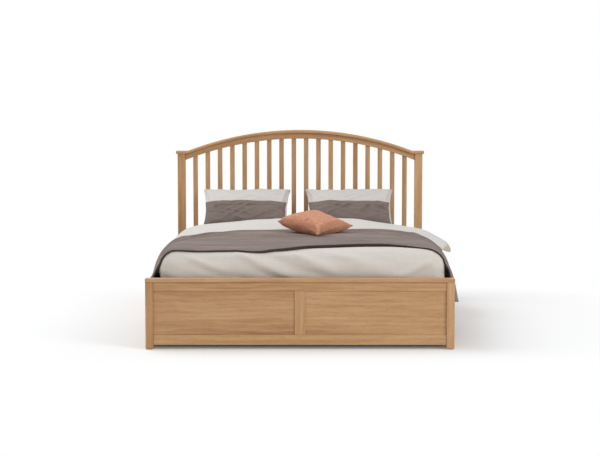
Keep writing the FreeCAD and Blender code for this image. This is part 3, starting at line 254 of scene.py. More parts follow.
def shaded(tree, shader, color, *shades):
    total = (*color, 1.0)
    for shade in shades:
        total = mixed(tree, 1.0, total, shade, "MULTIPLY")
    tree.links.new(total, shader.inputs["Base Color"])


# How far the boards of one node differ in figure and tone
boardSpread = {"shift": 9.0, "tone": 0.16}


# grain names the axis that the fibres run along; pitch splits a node into boards along one axis
def oakMaterial(name, grain, shift, tone=0.0, arch=0.0, pitch=None):
    material, tree, shader, spots = newMaterial(name)
    parts = axes(tree, spots["Object"])
    height = parts["Z"]
    if arch:
        squared = calc(tree, "MULTIPLY", parts["X"], parts["X"])
        height = calc(tree, "MULTIPLY_ADD", squared, arch, height)
    order = {"x": (parts["X"], parts["Y"], height), "y": (parts["Y"], parts["X"], height),
             "z": (height, parts["X"], parts["Y"])}[grain]
    turned = put(tree, "ShaderNodeCombineXYZ", inputs=dict(zip(("X", "Y", "Z"), order))).outputs[0]
    boardShift, boardTone = shift, tone
    if pitch:
        axis, width = pitch
        number = calc(tree, "FLOOR", calc(tree, "DIVIDE", parts[axis], width))
        drawn = put(tree, "ShaderNodeTexWhiteNoise", {"noise_dimensions": "1D"},
                    {"W": number}).outputs["Value"]
        darkest = tone - boardSpread["tone"] / 2
        boardShift = calc(tree, "MULTIPLY_ADD", drawn, boardSpread["shift"], shift)
        boardTone = calc(tree, "MULTIPLY_ADD", drawn, boardSpread["tone"], darkest)
    oak = useGroup(tree, oakFigure, {"Vector": turned, "Shift": boardShift, "Tone": boardTone})
    feed(tree, shader.inputs, {"Base Color": oak["Color"], "Roughness": oak["Roughness"],
                               "Specular IOR Level": 0.35})
    bumped(tree, shader, oak["Height"], strength=0.35, distance=0.0006)
    return material


def steelMaterial(name, color, metallic, scale, wear, bump):
    material, tree, shader, spots = newMaterial(name)
    grain = useGroup(tree, fineGrain, {"Vector": spots["Object"], "Scale": scale, "Wear": wear})
    shaded(tree, shader, color, grain["Shade"])
    feed(tree, shader.inputs, {"Roughness": grain["Roughness"], "Metallic": metallic})
    bumped(tree, shader, grain["Height"], strength=bump, distance=0.0004)
    return material


# Polished rod: bright metal with faint turning marks round its axis
def chromeMaterial(name):
    material, tree, shader, spots = newMaterial(name)
    marks = streaky(tree, spots["Object"], (40.0, 900.0, 900.0))
    color = ramp(tree, marks, [(0.3, (0.60, 0.61, 0.62)), (0.7, (0.72, 0.73, 0.74))])
    feed(tree, shader.inputs, {"Base Color": color, "Metallic": 1.0,
                               "Roughness": ranged(tree, marks, 0.3, 0.7, 0.08, 0.18)})
    return material


# Plywood: rotary-cut birch faces with layered edges
def plyMaterial(name, base, layers):
    material, tree, shader, spots = newMaterial(name)
    flow = streaky(tree, spots["Object"], (7.0, 1.1, 7.0), 3.0)
    rings = put(tree, "ShaderNodeTexWave", {"wave_type": "BANDS", "bands_direction": "X"}, {
        "Vector": stretched(tree, spots["Object"], (1.0, 0.08, 1.0)), "Scale": 5.0,
        "Distortion": 7.0, "Detail": 3.0, "Detail Scale": 1.2}).outputs["Fac"]
    fibres = streaky(tree, spots["Object"], (160.0, 5.0, 160.0))
    figure = calc(tree, "MULTIPLY_ADD", rings, 0.35, calc(tree, "MULTIPLY", flow, 0.4))
    figure = calc(tree, "MULTIPLY_ADD", fibres, 0.3, figure)
    darker = tuple(part * 0.72 for part in base)
    color = ramp(tree, ranged(tree, figure, 0.25, 0.8), [(0.0, darker), (1.0, base)])
    edge = put(tree, "ShaderNodeTexWave", {"wave_type": "BANDS", "bands_direction": "Z"}, {
        "Vector": spots["Object"], "Scale": layers}).outputs["Fac"]
    upright = calc(tree, "ABSOLUTE", axes(tree, spots["Normal"])["Z"])
    sideways = ranged(tree, upright, 0.3, 0.6, 1.0, 0.0)
    stripes = calc(tree, "MULTIPLY", sideways, ranged(tree, edge, 0.4, 0.6, 0.0, 0.55))
    color = mixed(tree, stripes, color, (*(part * 0.45 for part in base), 1.0))
    feed(tree, shader.inputs, {"Base Color": color,
                               "Roughness": ranged(tree, fibres, 0.3, 0.7, 0.62, 0.5)})
    bumped(tree, shader, fibres, strength=0.2, distance=0.0004)
    return material


# Cloth on the piece's own UV map, which is in metres
def clothMaterial(name, color, look):
    material, tree, shader, spots = newMaterial(name)
    weave = useGroup(tree, plainWeave, {
        "Vector": spots["UV"], "Pitch": look["pitch"], "Slub": look["slub"]})
    drift = useGroup(tree, toneDrift, {
        "Vector": stretched(tree, spots["UV"], look["streak"]), "Scale": look["driftScale"],
        "Amount": look["drift"]})
    thread = ranged(tree, weave["Height"], 0.2, 1.0, 1.0 - look["contrast"], 1.0)
    slub = ranged(tree, weave["Shade"], 0.35, 0.65, 1.0 - look["slubShade"], 1.0 + look["slubShade"])
    shaded(tree, shader, color, thread, slub, drift["Shade"])
    feed(tree, shader.inputs, {"Roughness": look["rough"], "Specular IOR Level": 0.2,
                               "Sheen Weight": look["sheen"], "Sheen Roughness": 0.5})
    bumped(tree, shader, weave["Height"], strength=look["bump"], distance=look["pitch"] * 0.35)
    return material


clothLooks = {
    "linen": {"pitch": 0.0014, "slub": 0.5, "streak": (1.0, 1.0, 1.0), "driftScale": 5.0,
              "drift": 0.10, "contrast": 0.10, "slubShade": 0.03, "rough": 0.85, "sheen": 0.15,
              "bump": 0.35},
    # the wool's strong streaked drift is partly its own uneven tone and partly painted shade of fine
    # folds across the throw
    "wool": {"pitch": 0.0026, "slub": 0.9, "streak": (2.4, 9.0, 1.0), "driftScale": 1.0,
             "drift": 1.60, "contrast": 0.22, "slubShade": 0.10, "rough": 0.92, "sheen": 0.08,
             "bump": 0.6},
    "greyLinen": {"pitch": 0.0017, "slub": 0.8, "streak": (6.0, 34.0, 1.0), "driftScale": 1.0,
                  "drift": 0.55, "contrast": 0.16, "slubShade": 0.08, "rough": 0.88, "sheen": 0.06,
                  "bump": 0.45},
    "nubby": {"pitch": 0.0062, "slub": 1.4, "streak": (11.0, 11.0, 1.0), "driftScale": 6.0,
              "drift": 0.90, "contrast": 0.30, "slubShade": 0.12, "rough": 0.9, "sheen": 0.06,
              "bump": 0.9},
}
clothFinishes = {
    "cover": ("coverLinen", srgb(213, 206, 198), "linen"),
    "duvet": ("duvetLinen", srgb(211, 207, 203), "linen"),
    "lining": ("duvetLining", srgb(190, 175, 156), "linen"),
    "throw": ("throwWool", srgb(133, 119, 113), "wool"),
    # painted shade: a dark wool for the throw's underside, rim and front lip, which lie in shadow
    "throwShade": ("throwPaintedShade", srgb(72, 57, 50), "wool"),
    "pillow": ("pillowLinen", srgb(205, 201, 197), "linen"),
    "grey": ("greyLinen", srgb(121, 108, 102), "greyLinen"),
    "cushion": ("terracottaWeave", srgb(229, 164, 132), "nubby"),
}
cloths = {key: clothMaterial(name, color, clothLooks[look])
          for key, (name, color, look) in clothFinishes.items()}

# Oak boards: the axis of the grain, then a shift and a tone of the figure
oakBoards = {
    # the right posts and right panel are toned lighter than the left ones: partly their own tone,
    # partly painted light from the right
    "head_post_left": ("z", 1.0, -0.07), "head_post_right": ("z", 2.1, 0.13),
    "headboard_lower_rail": ("x", 3.3, 0.0), "head_panel": ("x", 4.7, -0.04),
    "foot_post_left": ("z", 5.2, -0.05), "foot_post_right": ("z", 6.4, 0.09),
    "footboard_cap": ("x", 7.9, 0.06), "footboard_top_rail": ("x", 8.3, -0.05),
    "footboard_bottom_rail": ("x", 9.6, 0.07), "footboard_stile": ("z", 10.2, 0.03),
    "footboard_panel_left": ("x", 11.4, 0.0), "footboard_panel_right": ("x", 12.9, 0.04),
    "side_rail_left": ("y", 13.1, 0.0), "side_rail_right": ("y", 14.8, 0.0),
    "floor_battens": ("y", 16.0, -0.04), "corner_blocks": ("z", 17.0, 0.0),
    "floor_beams": ("x", 18.0, -0.04),
}
archCurve = 0.247
cadMaterials = {name: oakMaterial("oak_" + name, *board) for name, board in oakBoards.items()}
for name, shift, tone in (("headboard_cap", 19.3, 0.02), ("headboard_arch_rail", 20.7, -0.02)):
    cadMaterials[name] = oakMaterial("oak_" + name, "x", shift, tone, arch=archCurve)
cadMaterials["headboard_slats"] = oakMaterial("oak_headboard_slats", "z", 0.3, pitch=("X", 0.08))
oakNodes = list(cadMaterials)

blackSteel = steelMaterial("blackPowderCoat", (0.022, 0.022, 0.024), metallic=0.0, scale=1100.0,
                           wear=0.5, bump=0.35)
zincSteel = steelMaterial("zincPlate", (0.52, 0.53, 0.54), metallic=1.0, scale=500.0,
                          wear=0.25, bump=0.1)
strutPaint = steelMaterial("strutPaint", (0.012, 0.012, 0.013), metallic=0.0, scale=300.0,
                           wear=0.3, bump=0.05)
blackPlastic = steelMaterial("blackPlastic", (0.016, 0.016, 0.017), metallic=0.0, scale=1600.0,
                             wear=0.3, bump=0.3)
# painted shade: the floor feet take the dark brown of the shadow under the foot rail, so they blend
# into it
shadeBrownPlastic = steelMaterial("shadeBrownPlastic", srgb(92, 76, 60), metallic=0.0, scale=1600.0,
                             wear=0.3, bump=0.3)
chromeRod = chromeMaterial("chromeRod")
plywood = plyMaterial("plywood", srgb(203, 172, 130), layers=130.0)
birchSlat = plyMaterial("birchSlat", srgb(216, 186, 146), layers=260.0)


def bothSides(*stems):
    return [f"{stem}_{side}" for stem in stems for side in ("left", "right")]


for material, names in (
        (blackSteel, bothSides("mech_plate", "front_arm", "rear_arm", "lift_bracket", "platform_rail")),
        (blackSteel, ["platform_head_tube", "platform_foot_tube", "platform_centre_tube"]),
        (zincSteel, ["mech_plate_pins", "rear_arm_pins", "lift_bracket_pins", "rail_bolts",
                     "strut_base_eyes", "strut_rod_eyes"]),
        (strutPaint, bothSides("strut_cylinder")), (chromeRod, bothSides("strut_rod")),
        (shadeBrownPlastic, ["floor_feet"]), (blackPlastic, ["slat_holders"]),
        (plywood, ["floor_panel_foot", "floor_panel_middle", "floor_panel_head"]),
        (birchSlat, ["platform_slats"])):
    for name in names:
        cadMaterials[name] = material
for name, material in cadMaterials.items():
    cadNodes[name].data.materials.clear()
    cadNodes[name].data.materials.append(material)
print("materials on", len(cadMaterials), "CAD nodes")


def modify(piece, name, kind, **settings):
    made = piece.modifiers.new(name, kind)
    for key, value in settings.items():
        setattr(made, key, value)


# Slightly eased edges on the wooden boards
easedEdges = {"width": 0.0018, "segments": 2, "limit_method": "ANGLE",
              "angle_limit": math.radians(40.0)}
for name in oakNodes:
    modify(cadNodes[name], "joinCorners", "WELD", merge_threshold=0.00001)
    modify(cadNodes[name], "easedEdges", "BEVEL", **easedEdges)
print("edges eased")


# Shape helpers
def smoothStep(share):
    share = max(0.0, min(1.0, share))
    return share * share * (3 - 2 * share)


# 0 up to start, then rising to 1 over reach; the looks below hold such pairs
def fade(value, start, reach):
    return smoothStep((value - start) / reach)


def between(low, high, share):
    return low + (high - low) * share


# A line of points with its corners cut three times, then evenly spaced along its length
def softLine(points, count):
    line = [Vector(point) for point in points]
    for _ in range(3):
        cut = [line[0]]
        for first, second in zip(line, line[1:]):
            cut += [first.lerp(second, 0.25), first.lerp(second, 0.75)]
        line = cut + [line[-1]]
    runs = [0.0]
    for first, second in zip(line, line[1:]):
        runs.append(runs[-1] + (second - first).length)
    even, spot = [], 0
    for number in range(count):
        goal = runs[-1] * number / (count - 1)
        while spot < len(runs) - 2 and runs[spot + 1] < goal:
            spot += 1
        span = max(runs[spot + 1] - runs[spot], 1e-9)
        even.append(line[spot].lerp(line[spot + 1], (goal - runs[spot]) / span))
    return even, runs[-1]


def newPiece(name, bm, material):
    mesh = bpy.data.meshes.new(name)
    bm.to_mesh(mesh)
    bm.free()
    piece = bpy.data.objects.new(name, mesh)
    scene.collection.objects.link(piece)
    mesh.materials.append(material)
    mesh.polygons.foreach_set("use_smooth", [True] * len(mesh.polygons))
    return piece


def bakeModifiers(piece):
    graph = bpy.context.evaluated_depsgraph_get()
    mesh = bpy.data.meshes.new_from_object(piece.evaluated_get(graph))
    old = piece.data
    piece.modifiers.clear()
    piece.data = mesh
    bpy.data.meshes.remove(old)
    piece.data.name = piece.name
    return piece


def surfaceOf(*pieces):
    graph = bpy.context.evaluated_depsgraph_get()
    points, faces = [], []
    for piece in pieces:
        mesh = piece.evaluated_get(graph).to_mesh()
        start = len(points)
        points += [vertex.co.copy() for vertex in mesh.vertices]
        faces += [[start + corner for corner in face.vertices] for face in mesh.polygons]
    return BVHTree.FromPolygons(points, faces)


aboveBed = 2.0


# Height of a surface, seen from above
def topAt(surface, x, y):
    spot = surface.ray_cast(Vector((x, y, aboveBed)), Vector((0, 0, -1)))[0]
    return spot.z if spot else 0.0


# A point nearer to a surface than gap, or inside it, goes out to gap
def clearOf(surface, point, gap):
    spot, facing = surface.find_nearest(point)[:2]
    return spot + facing * gap if (point - spot).dot(facing) < gap else point


# Cloth blown up a little inside its own seams; no point moves further than cap
clothSim = {"quality": 5, "mass": 0.3}


def inflate(piece, recipe):
    modify(piece, "remesh", "REMESH", mode="VOXEL", voxel_size=recipe["voxel"])
    bakeModifiers(piece)
    start = [vertex.co.copy() for vertex in piece.data.vertices]
    cloth = piece.modifiers.new("cloth", "CLOTH")
    settings = cloth.settings
    settings.quality = clothSim["quality"]
    settings.mass = clothSim["mass"]
    settings.tension_stiffness = settings.compression_stiffness = recipe["tension"]
    settings.shear_stiffness = recipe["tension"] / 3
    settings.bending_stiffness = recipe["bending"]
    settings.use_pressure = True
    settings.uniform_pressure_force = recipe["pressure"]
    settings.effector_weights.gravity = 0.0
    cloth.point_cache.frame_start = 1
    cloth.point_cache.frame_end = recipe["frames"]
    for number in range(1, recipe["frames"] + 1):
        scene.frame_set(number)
    bakeModifiers(piece)
    for vertex, old in zip(piece.data.vertices, start):
        step = vertex.co - old
        if step.length > recipe["cap"]:
            vertex.co = old + step * (recipe["cap"] / step.length)
    scene.frame_set(1)


# UV in metres, each face laid flat along the axis that it faces
def flatUv(piece):
    mesh = piece.data
    layer = mesh.uv_layers.get("UVMap") or mesh.uv_layers.new(name="UVMap")
    for face in mesh.polygons:
        sizes = [abs(part) for part in face.normal]
        first, second = ((1, 2), (0, 2), (0, 1))[sizes.index(max(sizes))]
        for corner in face.loop_indices:
            spot = mesh.vertices[mesh.loops[corner].vertex_index].co
            layer.data[corner].uv = (spot[first], spot[second])


def subdivided(piece):
    modify(piece, "finer", "SUBSURF", levels=1, render_levels=1)
    return piece


# Mattress in a loose pale cover, pulled into slanting folds on its foot face
coverLook = {
    "voxel": 0.016, "tension": 12.0, "bending": 0.6, "pressure": 1.5, "frames": 10, "cap": 0.004,
    "cornerRadius": 0.088, "topRadius": 0.084, "bottomRadius": 0.012, "roundSteps": 8, "inset": 0.001,
    "foldDepth": 0.015, "foldLeast": 0.12, "foldLean": 14.0, "foldLong": 1.7, "foldShort": 12.0,
    "foldAlongBed": 2.0, "foldMix": (0.65, 0.35), "foldFiner": 2.1, "foldShift": (4.0, 1.0, 7.0),
    "footFace": (0.86, 0.10), "belowTop": (-0.004, 0.04), "topPart": (0.40, 0.09),
    "rise": 0.005, "footRise": 0.006, "footRiseFrom": (0.2, 0.3),
    "spread": {"left": 0.012, "right": 0.036}, "spreadAbove": (0.31, 0.05),
    "spreadSides": (0.35, 0.35), "spreadFoot": (-0.1, 0.4),
    "slump": 0.018, "slumpSides": (0.52, 0.12), "slumpHead": (0.55, 0.2),
    "pleatHeight": 0.011, "pleatWidth": 0.020, "relax": 0.5, "relaxTimes": 2,
    "pleats": [((-0.58, 0.462), (-0.36, 0.390)), ((-0.37, 0.494), (-0.05, 0.370)),
               ((-0.22, 0.500), (0.05, 0.432)), ((-0.07, 0.484), (0.17, 0.402)),
               ((0.10, 0.492), (0.33, 0.440)), ((0.67, 0.455), (0.50, 0.372))],
}


# Height of pulled folds at a spot: each rises along a line in X and Z and fades at both ends
pleatTaper = {"width": (0.6, 1.2), "start": (-0.15, 0.4), "end": (-1.25, 0.5)}


def pleatAt(spot, lines, width):
    total = 0.0
    for start, end in lines:
        start, end = Vector(start), Vector(end)
        line = end - start
        away = Vector((spot.x, spot.z)) - start
        share = away.dot(line) / line.length_squared
        side = (away.x * line.y - away.y * line.x) / line.length
        spread = width * between(*pleatTaper["width"], smoothStep(share))
        ends = fade(share, *pleatTaper["start"]) * fade(-share, *pleatTaper["end"])
        total += math.exp(-(side / spread) ** 2) * ends
    return total


def makeCover():
    look = coverLook
    low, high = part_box("mattress")
    bm = bmesh.new()
    bmesh.ops.create_cube(bm, size=1.0)
    size = high - low - Vector((2, 2, 0)) * look["inset"]
    bmesh.ops.scale(bm, vec=size, verts=bm.verts)
    bmesh.ops.translate(bm, vec=(low + high) / 2, verts=bm.verts)

    def rounded(edges, radius):
        bmesh.ops.bevel(bm, geom=edges, offset=radius, segments=look["roundSteps"], profile=0.5,
                        affect="EDGES", material=-1, clamp_overlap=True)

    def onRim(edge, level):
        flat = all(abs(vertex.co.z - level) < 1e-5 for vertex in edge.verts)
        return flat and any(abs(face.normal.z) < 0.5 for face in edge.link_faces)
    upright = [edge for edge in bm.edges
               if abs(edge.verts[0].co.z - edge.verts[1].co.z) > size.z / 2]
    rounded(upright, look["cornerRadius"])
    for level, radius in ((high.z, "topRadius"), (low.z, "bottomRadius")):
        rounded([edge for edge in bm.edges if onRim(edge, level)], look[radius])
    piece = newPiece("mattress_cover", bm, cloths["cover"])
    inflate(piece, look)
    bakeModifiers(subdivided(piece))
    lean = math.radians(look["foldLean"])
    facings = [vertex.normal.copy() for vertex in piece.data.vertices]
    for vertex, facing in zip(piece.data.vertices, facings):
        spot = vertex.co.copy()
        along = math.cos(lean) * spot.x - math.sin(lean) * spot.z
        across = math.sin(lean) * spot.x + math.cos(lean) * spot.z
        pull = Vector((along * look["foldLong"], across * look["foldShort"],
                       spot.y * look["foldAlongBed"]))
        fold = noise.noise(pull) * look["foldMix"][0]
        fold += noise.noise(pull * look["foldFiner"] + Vector(look["foldShift"])) * look["foldMix"][1]
        foot = fade(-spot.y, *look["footFace"]) * fade(high.z - spot.z, *look["belowTop"])
        depth = look["foldDepth"] * between(look["foldLeast"], 1.0, foot) * fold
        if foot > 0:
            depth += pleatAt(spot, look["pleats"], look["pleatWidth"]) * look["pleatHeight"] * foot
        spread = look["spread"]["left" if spot.x < 0 else "right"] * fade(spot.z, *look["spreadAbove"])
        spread *= fade(abs(spot.x), *look["spreadSides"]) * fade(-spot.y, *look["spreadFoot"])
        # the top edge is lower at the two head corners
        rise = look["rise"] + look["footRise"] * fade(-spot.y, *look["footRiseFrom"])
        headCorner = fade(abs(spot.x), *look["slumpSides"]) * fade(spot.y, *look["slumpHead"])
        rise -= look["slump"] * headCorner
        rise *= fade(spot.z, *look["topPart"])
        vertex.co = spot + facing * depth + Vector((math.copysign(spread, spot.x), 0.0, rise))
        vertex.co.z = max(low.z, vertex.co.z)
    modify(piece, "relax", "SMOOTH", factor=look["relax"], iterations=look["relaxTimes"])
    bakeModifiers(piece)
    flatUv(piece)
    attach(piece, "platform")
    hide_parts("mattress")
    return piece


cover = makeCover()
coverSurface = surfaceOf(cover)
print("mattress cover made")


# Cross-sections of a cloth that lies over the bed, in millimetres. A station holds its place along Y,
# the height in the middle, then the left and the right (x, z) points from the top of the bed out and
# down to the hem.
def inMetres(station):
    y, crown, *sides = station
    return y / 1000, crown / 1000, *([(x / 1000, z / 1000) for x, z in side] for side in sides)


def stationAt(stations, y):
    for (y0, crown0, *sides0), (y1, crown1, *sides1) in zip(stations, stations[1:]):
        if y <= y1:
            share = fade(y, y0, y1 - y0)
            sides = [[Vector(a).lerp(Vector(b), share) for a, b in zip(*pair)]
                     for pair in zip(sides0, sides1)]
            return between(crown0, crown1, share), sides
    return crown1, [[Vector(point) for point in side] for side in sides1]


def clothGrid(columns, rows):
    bm = bmesh.new()
    bmesh.ops.create_grid(bm, x_segments=columns, y_segments=rows, size=1.0)
    return bm


# Sets each vertex of a grid on the stations' surface and returns its place on the flat cloth
def drape(bm, look):
    columns, rows = look["columns"], look["rows"]
    middle = columns // 2
    stations = [inMetres(station) for station in look["stations"]]
    lines = {}
    for row in range(rows + 1):
        crown, sides = stationAt(stations, between(look["foot"], look["head"], row / rows))
        for sign, side in zip((-1, 1), sides):
            points = [Vector((0.0, crown))] + side
            lines[row, sign] = softLine([(point.x, 0.0, point.y) for point in points], middle + 1)
    flat = {}
    for vertex in bm.verts:
        column = round((vertex.co.x + 1) / 2 * columns)
        row = round((vertex.co.y + 1) / 2 * rows)
        sign = -1 if column < middle else 1
        points, length = lines[row, sign]
        number = abs(column - middle)
        spot = points[number]
        vertex.co = Vector((spot.x * sign, between(look["foot"], look["head"], row / rows), spot.z))
        flat[vertex] = (sign * length * number / middle, row / rows, number / middle)
    return flat


# Duvet, fuller towards the pillows, with both sides hanging free and the right one standing out
duvetLook = {
    "foot": -0.330, "head": 0.640, "columns": 160, "rows": 96, "thick": 0.018, "puff": 0.009,
    "gap": 0.0008, "clear": 0.009, "lining": (0.038, 0.0, -0.036),
    "waves": [(2.6, 4.0, 1.0, 0.6), (6.0, 7.5, 5.0, 0.4)],  # scale across and along, shift, weight
    "freeFrom": (-0.06, 0.14), "hangFrom": (0.80, 0.2), "ruffle": 0.010, "ruffleScale": 8.0,
    "sideFrom": (0.60, 0.06),
    "spillFrom": (0.88, 0.12), "spillHead": (0.0, 0.2),
    "stations": [
        (-330, 504,
         [(300, 504), (500, 503), (620, 500), (680, 486), (712, 462), (728, 435)],
         [(300, 504), (500, 504), (620, 502), (690, 488), (722, 462), (738, 435)]),
        (-100, 511,
         [(300, 510), (500, 506), (620, 501), (690, 480), (730, 445), (757, 410)],
         [(300, 513), (500, 511), (620, 502), (700, 480), (762, 446), (812, 410)]),
        (60, 518,
         [(300, 516), (500, 511), (620, 505), (700, 487), (750, 446), (790, 395)],
         [(300, 521), (500, 518), (640, 508), (725, 488), (790, 457), (852, 422)]),
        (300, 540,
         [(300, 534), (500, 520), (620, 511), (695, 497), (738, 470), (800, 398)],
         [(300, 542), (500, 523), (640, 512), (738, 505), (800, 477), (886, 428)]),
        (480, 556,
         [(280, 549), (460, 527), (600, 515), (690, 497), (735, 468), (782, 410)],
         [(300, 560), (460, 536), (600, 514), (700, 503), (770, 476), (840, 436)]),
        (580, 553,
         [(280, 546), (460, 524), (600, 513), (680, 496), (720, 470), (752, 430)],
         [(300, 556), (460, 532), (600, 512), (685, 498), (730, 472), (770, 440)]),
        (640, 532,
         [(280, 528), (460, 514), (580, 506), (650, 494), (690, 475), (715, 450)],
         [(300, 532), (460, 517), (580, 506), (650, 495), (692, 476), (722, 450)]),
    ],
}


def makeDuvet():
    look = duvetLook
    bm = clothGrid(look["columns"], look["rows"])
    flat = drape(bm, look)
    for vertex, (across, along, out) in flat.items():
        x, y, z = vertex.co
        wave = 0.0
        for acrossScale, alongScale, shift, weight in look["waves"]:
            wave += noise.noise(Vector((across * acrossScale, y * alongScale, shift))) * weight
        hang = fade(out, *look["hangFrom"])
        wave *= look["puff"] * fade(y, *look["freeFrom"]) * (1 - hang)
        ruffle = noise.noise(Vector((y * look["ruffleScale"], math.copysign(3.0, x), out)))
        vertex.co = Vector((x + math.copysign(ruffle * look["ruffle"] * hang, x), y, z + wave))
    hemStart = {vertex.index: (flat[vertex][0], flat[vertex][2]) for vertex in bm.verts}
    upper = len(bm.verts)
    piece = newPiece("duvet_cover", bm, cloths["duvet"])
    piece.data.materials.append(cloths["lining"])
    modify(piece, "filling", "SOLIDIFY", thickness=look["thick"], offset=-1.0, use_even_offset=False,
           material_offset=1, material_offset_rim=1)
    bakeModifiers(piece)
    for number, vertex in enumerate(piece.data.vertices):
        side = fade(abs(vertex.co.x), *look["sideFrom"])
        if number < upper:
            vertex.co = clearOf(coverSurface, vertex.co, look["clear"] * side)
            continue
        across, out = hemStart[number - upper]
        if side < 1:
            vertex.co.z = topAt(coverSurface, vertex.co.x, vertex.co.y) + look["gap"]
        vertex.co = clearOf(coverSurface, vertex.co, look["gap"])
        if across > 0:
            spill = fade(out, *look["spillFrom"]) * fade(vertex.co.y, *look["spillHead"])
            vertex.co += Vector(look["lining"]) * spill
    flatUv(piece)
    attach(piece, "platform")
    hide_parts("duvet")
    return subdivided(piece)


duvet = makeDuvet()
bedSurface = surfaceOf(cover, duvet)
print("duvet made")

# Throw across the foot of the bed and over the duvet's lower edge
throwLook = {
    "foot": -0.955, "head": -0.040, "columns": 220, "rows": 150, "thick": 0.006, "gap": 0.0008,
    "bow": 0.105, "bowHalf": 0.72, "bowFrom": (0.35, 0.65), "leftBack": 0.28, "rightBack": 0.02,
    "shoulder": (0.25, 0.5), "skew": 0.15, "skewIn": (-0.15, 0.55), "skewOut": (0.45, 0.28),
    "frontUntil": (0.0, 0.6), "topUntil": (0.66, 0.2), "hangFrom": (0.72, 0.25),
    "wavy": 0.010, "wavyScale": 3.0, "dropFold": 0.006, "dropScale": (8.0, 1.2),
    "ripple": 0.009, "rippleScale": (1.5, 9.0), "rippleFrom": (0.0, 0.3),
    "pleats": [(0.055, 0.04, 0.012, 0.016), (0.120, -0.03, 0.018, 0.013),
               (0.230, 0.07, 0.026, 0.010)],  # distance from the back edge, lean, width, height
    "breakScale": 2.3, "breakShift": 0.5, "sway": 0.02, "swayScale": 2.0,
    "backLip": (0.004, 0.011), "lipRight": (0.1, 0.6), "lipFrom": (0.962, 0.03),
    "frontLip": [(-0.70, 0.001), (-0.30, 0.002), (-0.05, 0.010), (0.40, 0.010), (0.56, 0.005),
                 (0.70, 0.002)],
    "lipFlat": (0.54, 0.12), "lipDepth": (0.0, 0.10), "hemTurn": 0.007, "hemFrom": (0.72, 0.2),
    "topHalf": 0.70, "closeSides": (0.62, 0.05), "closeAbove": (0.40, 0.05), "closeUntil": (0.35, 0.3),
    "closeGap": 0.002, "sideHalf": 0.62, "overDuvet": 0.55, "outward": 0.3, "sideGap": 0.005,
    # frontShadeRows: how many rows at the front edge take the throw's painted shade
    "hemHalf": 0.75, "frontShadeRows": 1.0, "backHemRows": 2.0, "relax": 0.5, "flat": (1.96, 0.92),
    "stations": [
        (-955, 507,
         [(450, 507), (660, 505), (712, 478), (738, 432), (756, 390), (770, 358), (787, 346)],
         [(450, 511), (620, 510), (690, 502), (732, 470), (767, 428), (790, 366), (794, 232)]),
        (-850, 509,
         [(450, 509), (660, 507), (722, 478), (753, 425), (773, 360), (803, 338), (809, 262)],
         [(450, 513), (640, 511), (704, 501), (750, 464), (783, 412), (810, 350), (829, 218)]),
        (-640, 511,
         [(450, 511), (660, 509), (726, 482), (765, 435), (789, 370), (804, 322), (812, 232)],
         [(450, 514), (650, 512), (716, 500), (764, 459), (801, 405), (833, 328), (859, 191)]),
        (-460, 511,
         [(450, 510), (630, 509), (712, 501), (765, 454), (797, 388), (810, 325), (818, 232)],
         [(450, 514), (650, 512), (718, 500), (770, 460), (811, 406), (846, 315), (872, 168)]),
        (-320, 514,
         [(450, 512), (630, 509), (708, 500), (764, 456), (798, 394), (811, 328), (822, 240)],
         [(450, 518), (640, 513), (712, 499), (774, 462), (818, 412), (850, 325), (870, 178)]),
        (-180, 520,
         [(450, 517), (620, 510), (704, 497), (762, 458), (796, 400), (810, 332), (834, 240)],
         [(450, 524), (630, 514), (704, 499), (770, 463), (820, 416), (839, 332), (852, 186)]),
        (-40, 524,
         [(450, 519), (600, 510), (694, 497), (756, 458), (792, 402), (809, 334), (852, 232)],
         [(450, 527), (620, 515), (700, 498), (768, 462), (820, 418), (834, 334), (844, 195)]),
    ],
}


# Value at x on a line given by its points
def lineAt(points, x):
    for (firstX, firstValue), (secondX, secondValue) in zip(points, points[1:]):
        if x < secondX:
            return between(firstValue, secondValue, fade(x, firstX, secondX - firstX))
    return points[-1][1]


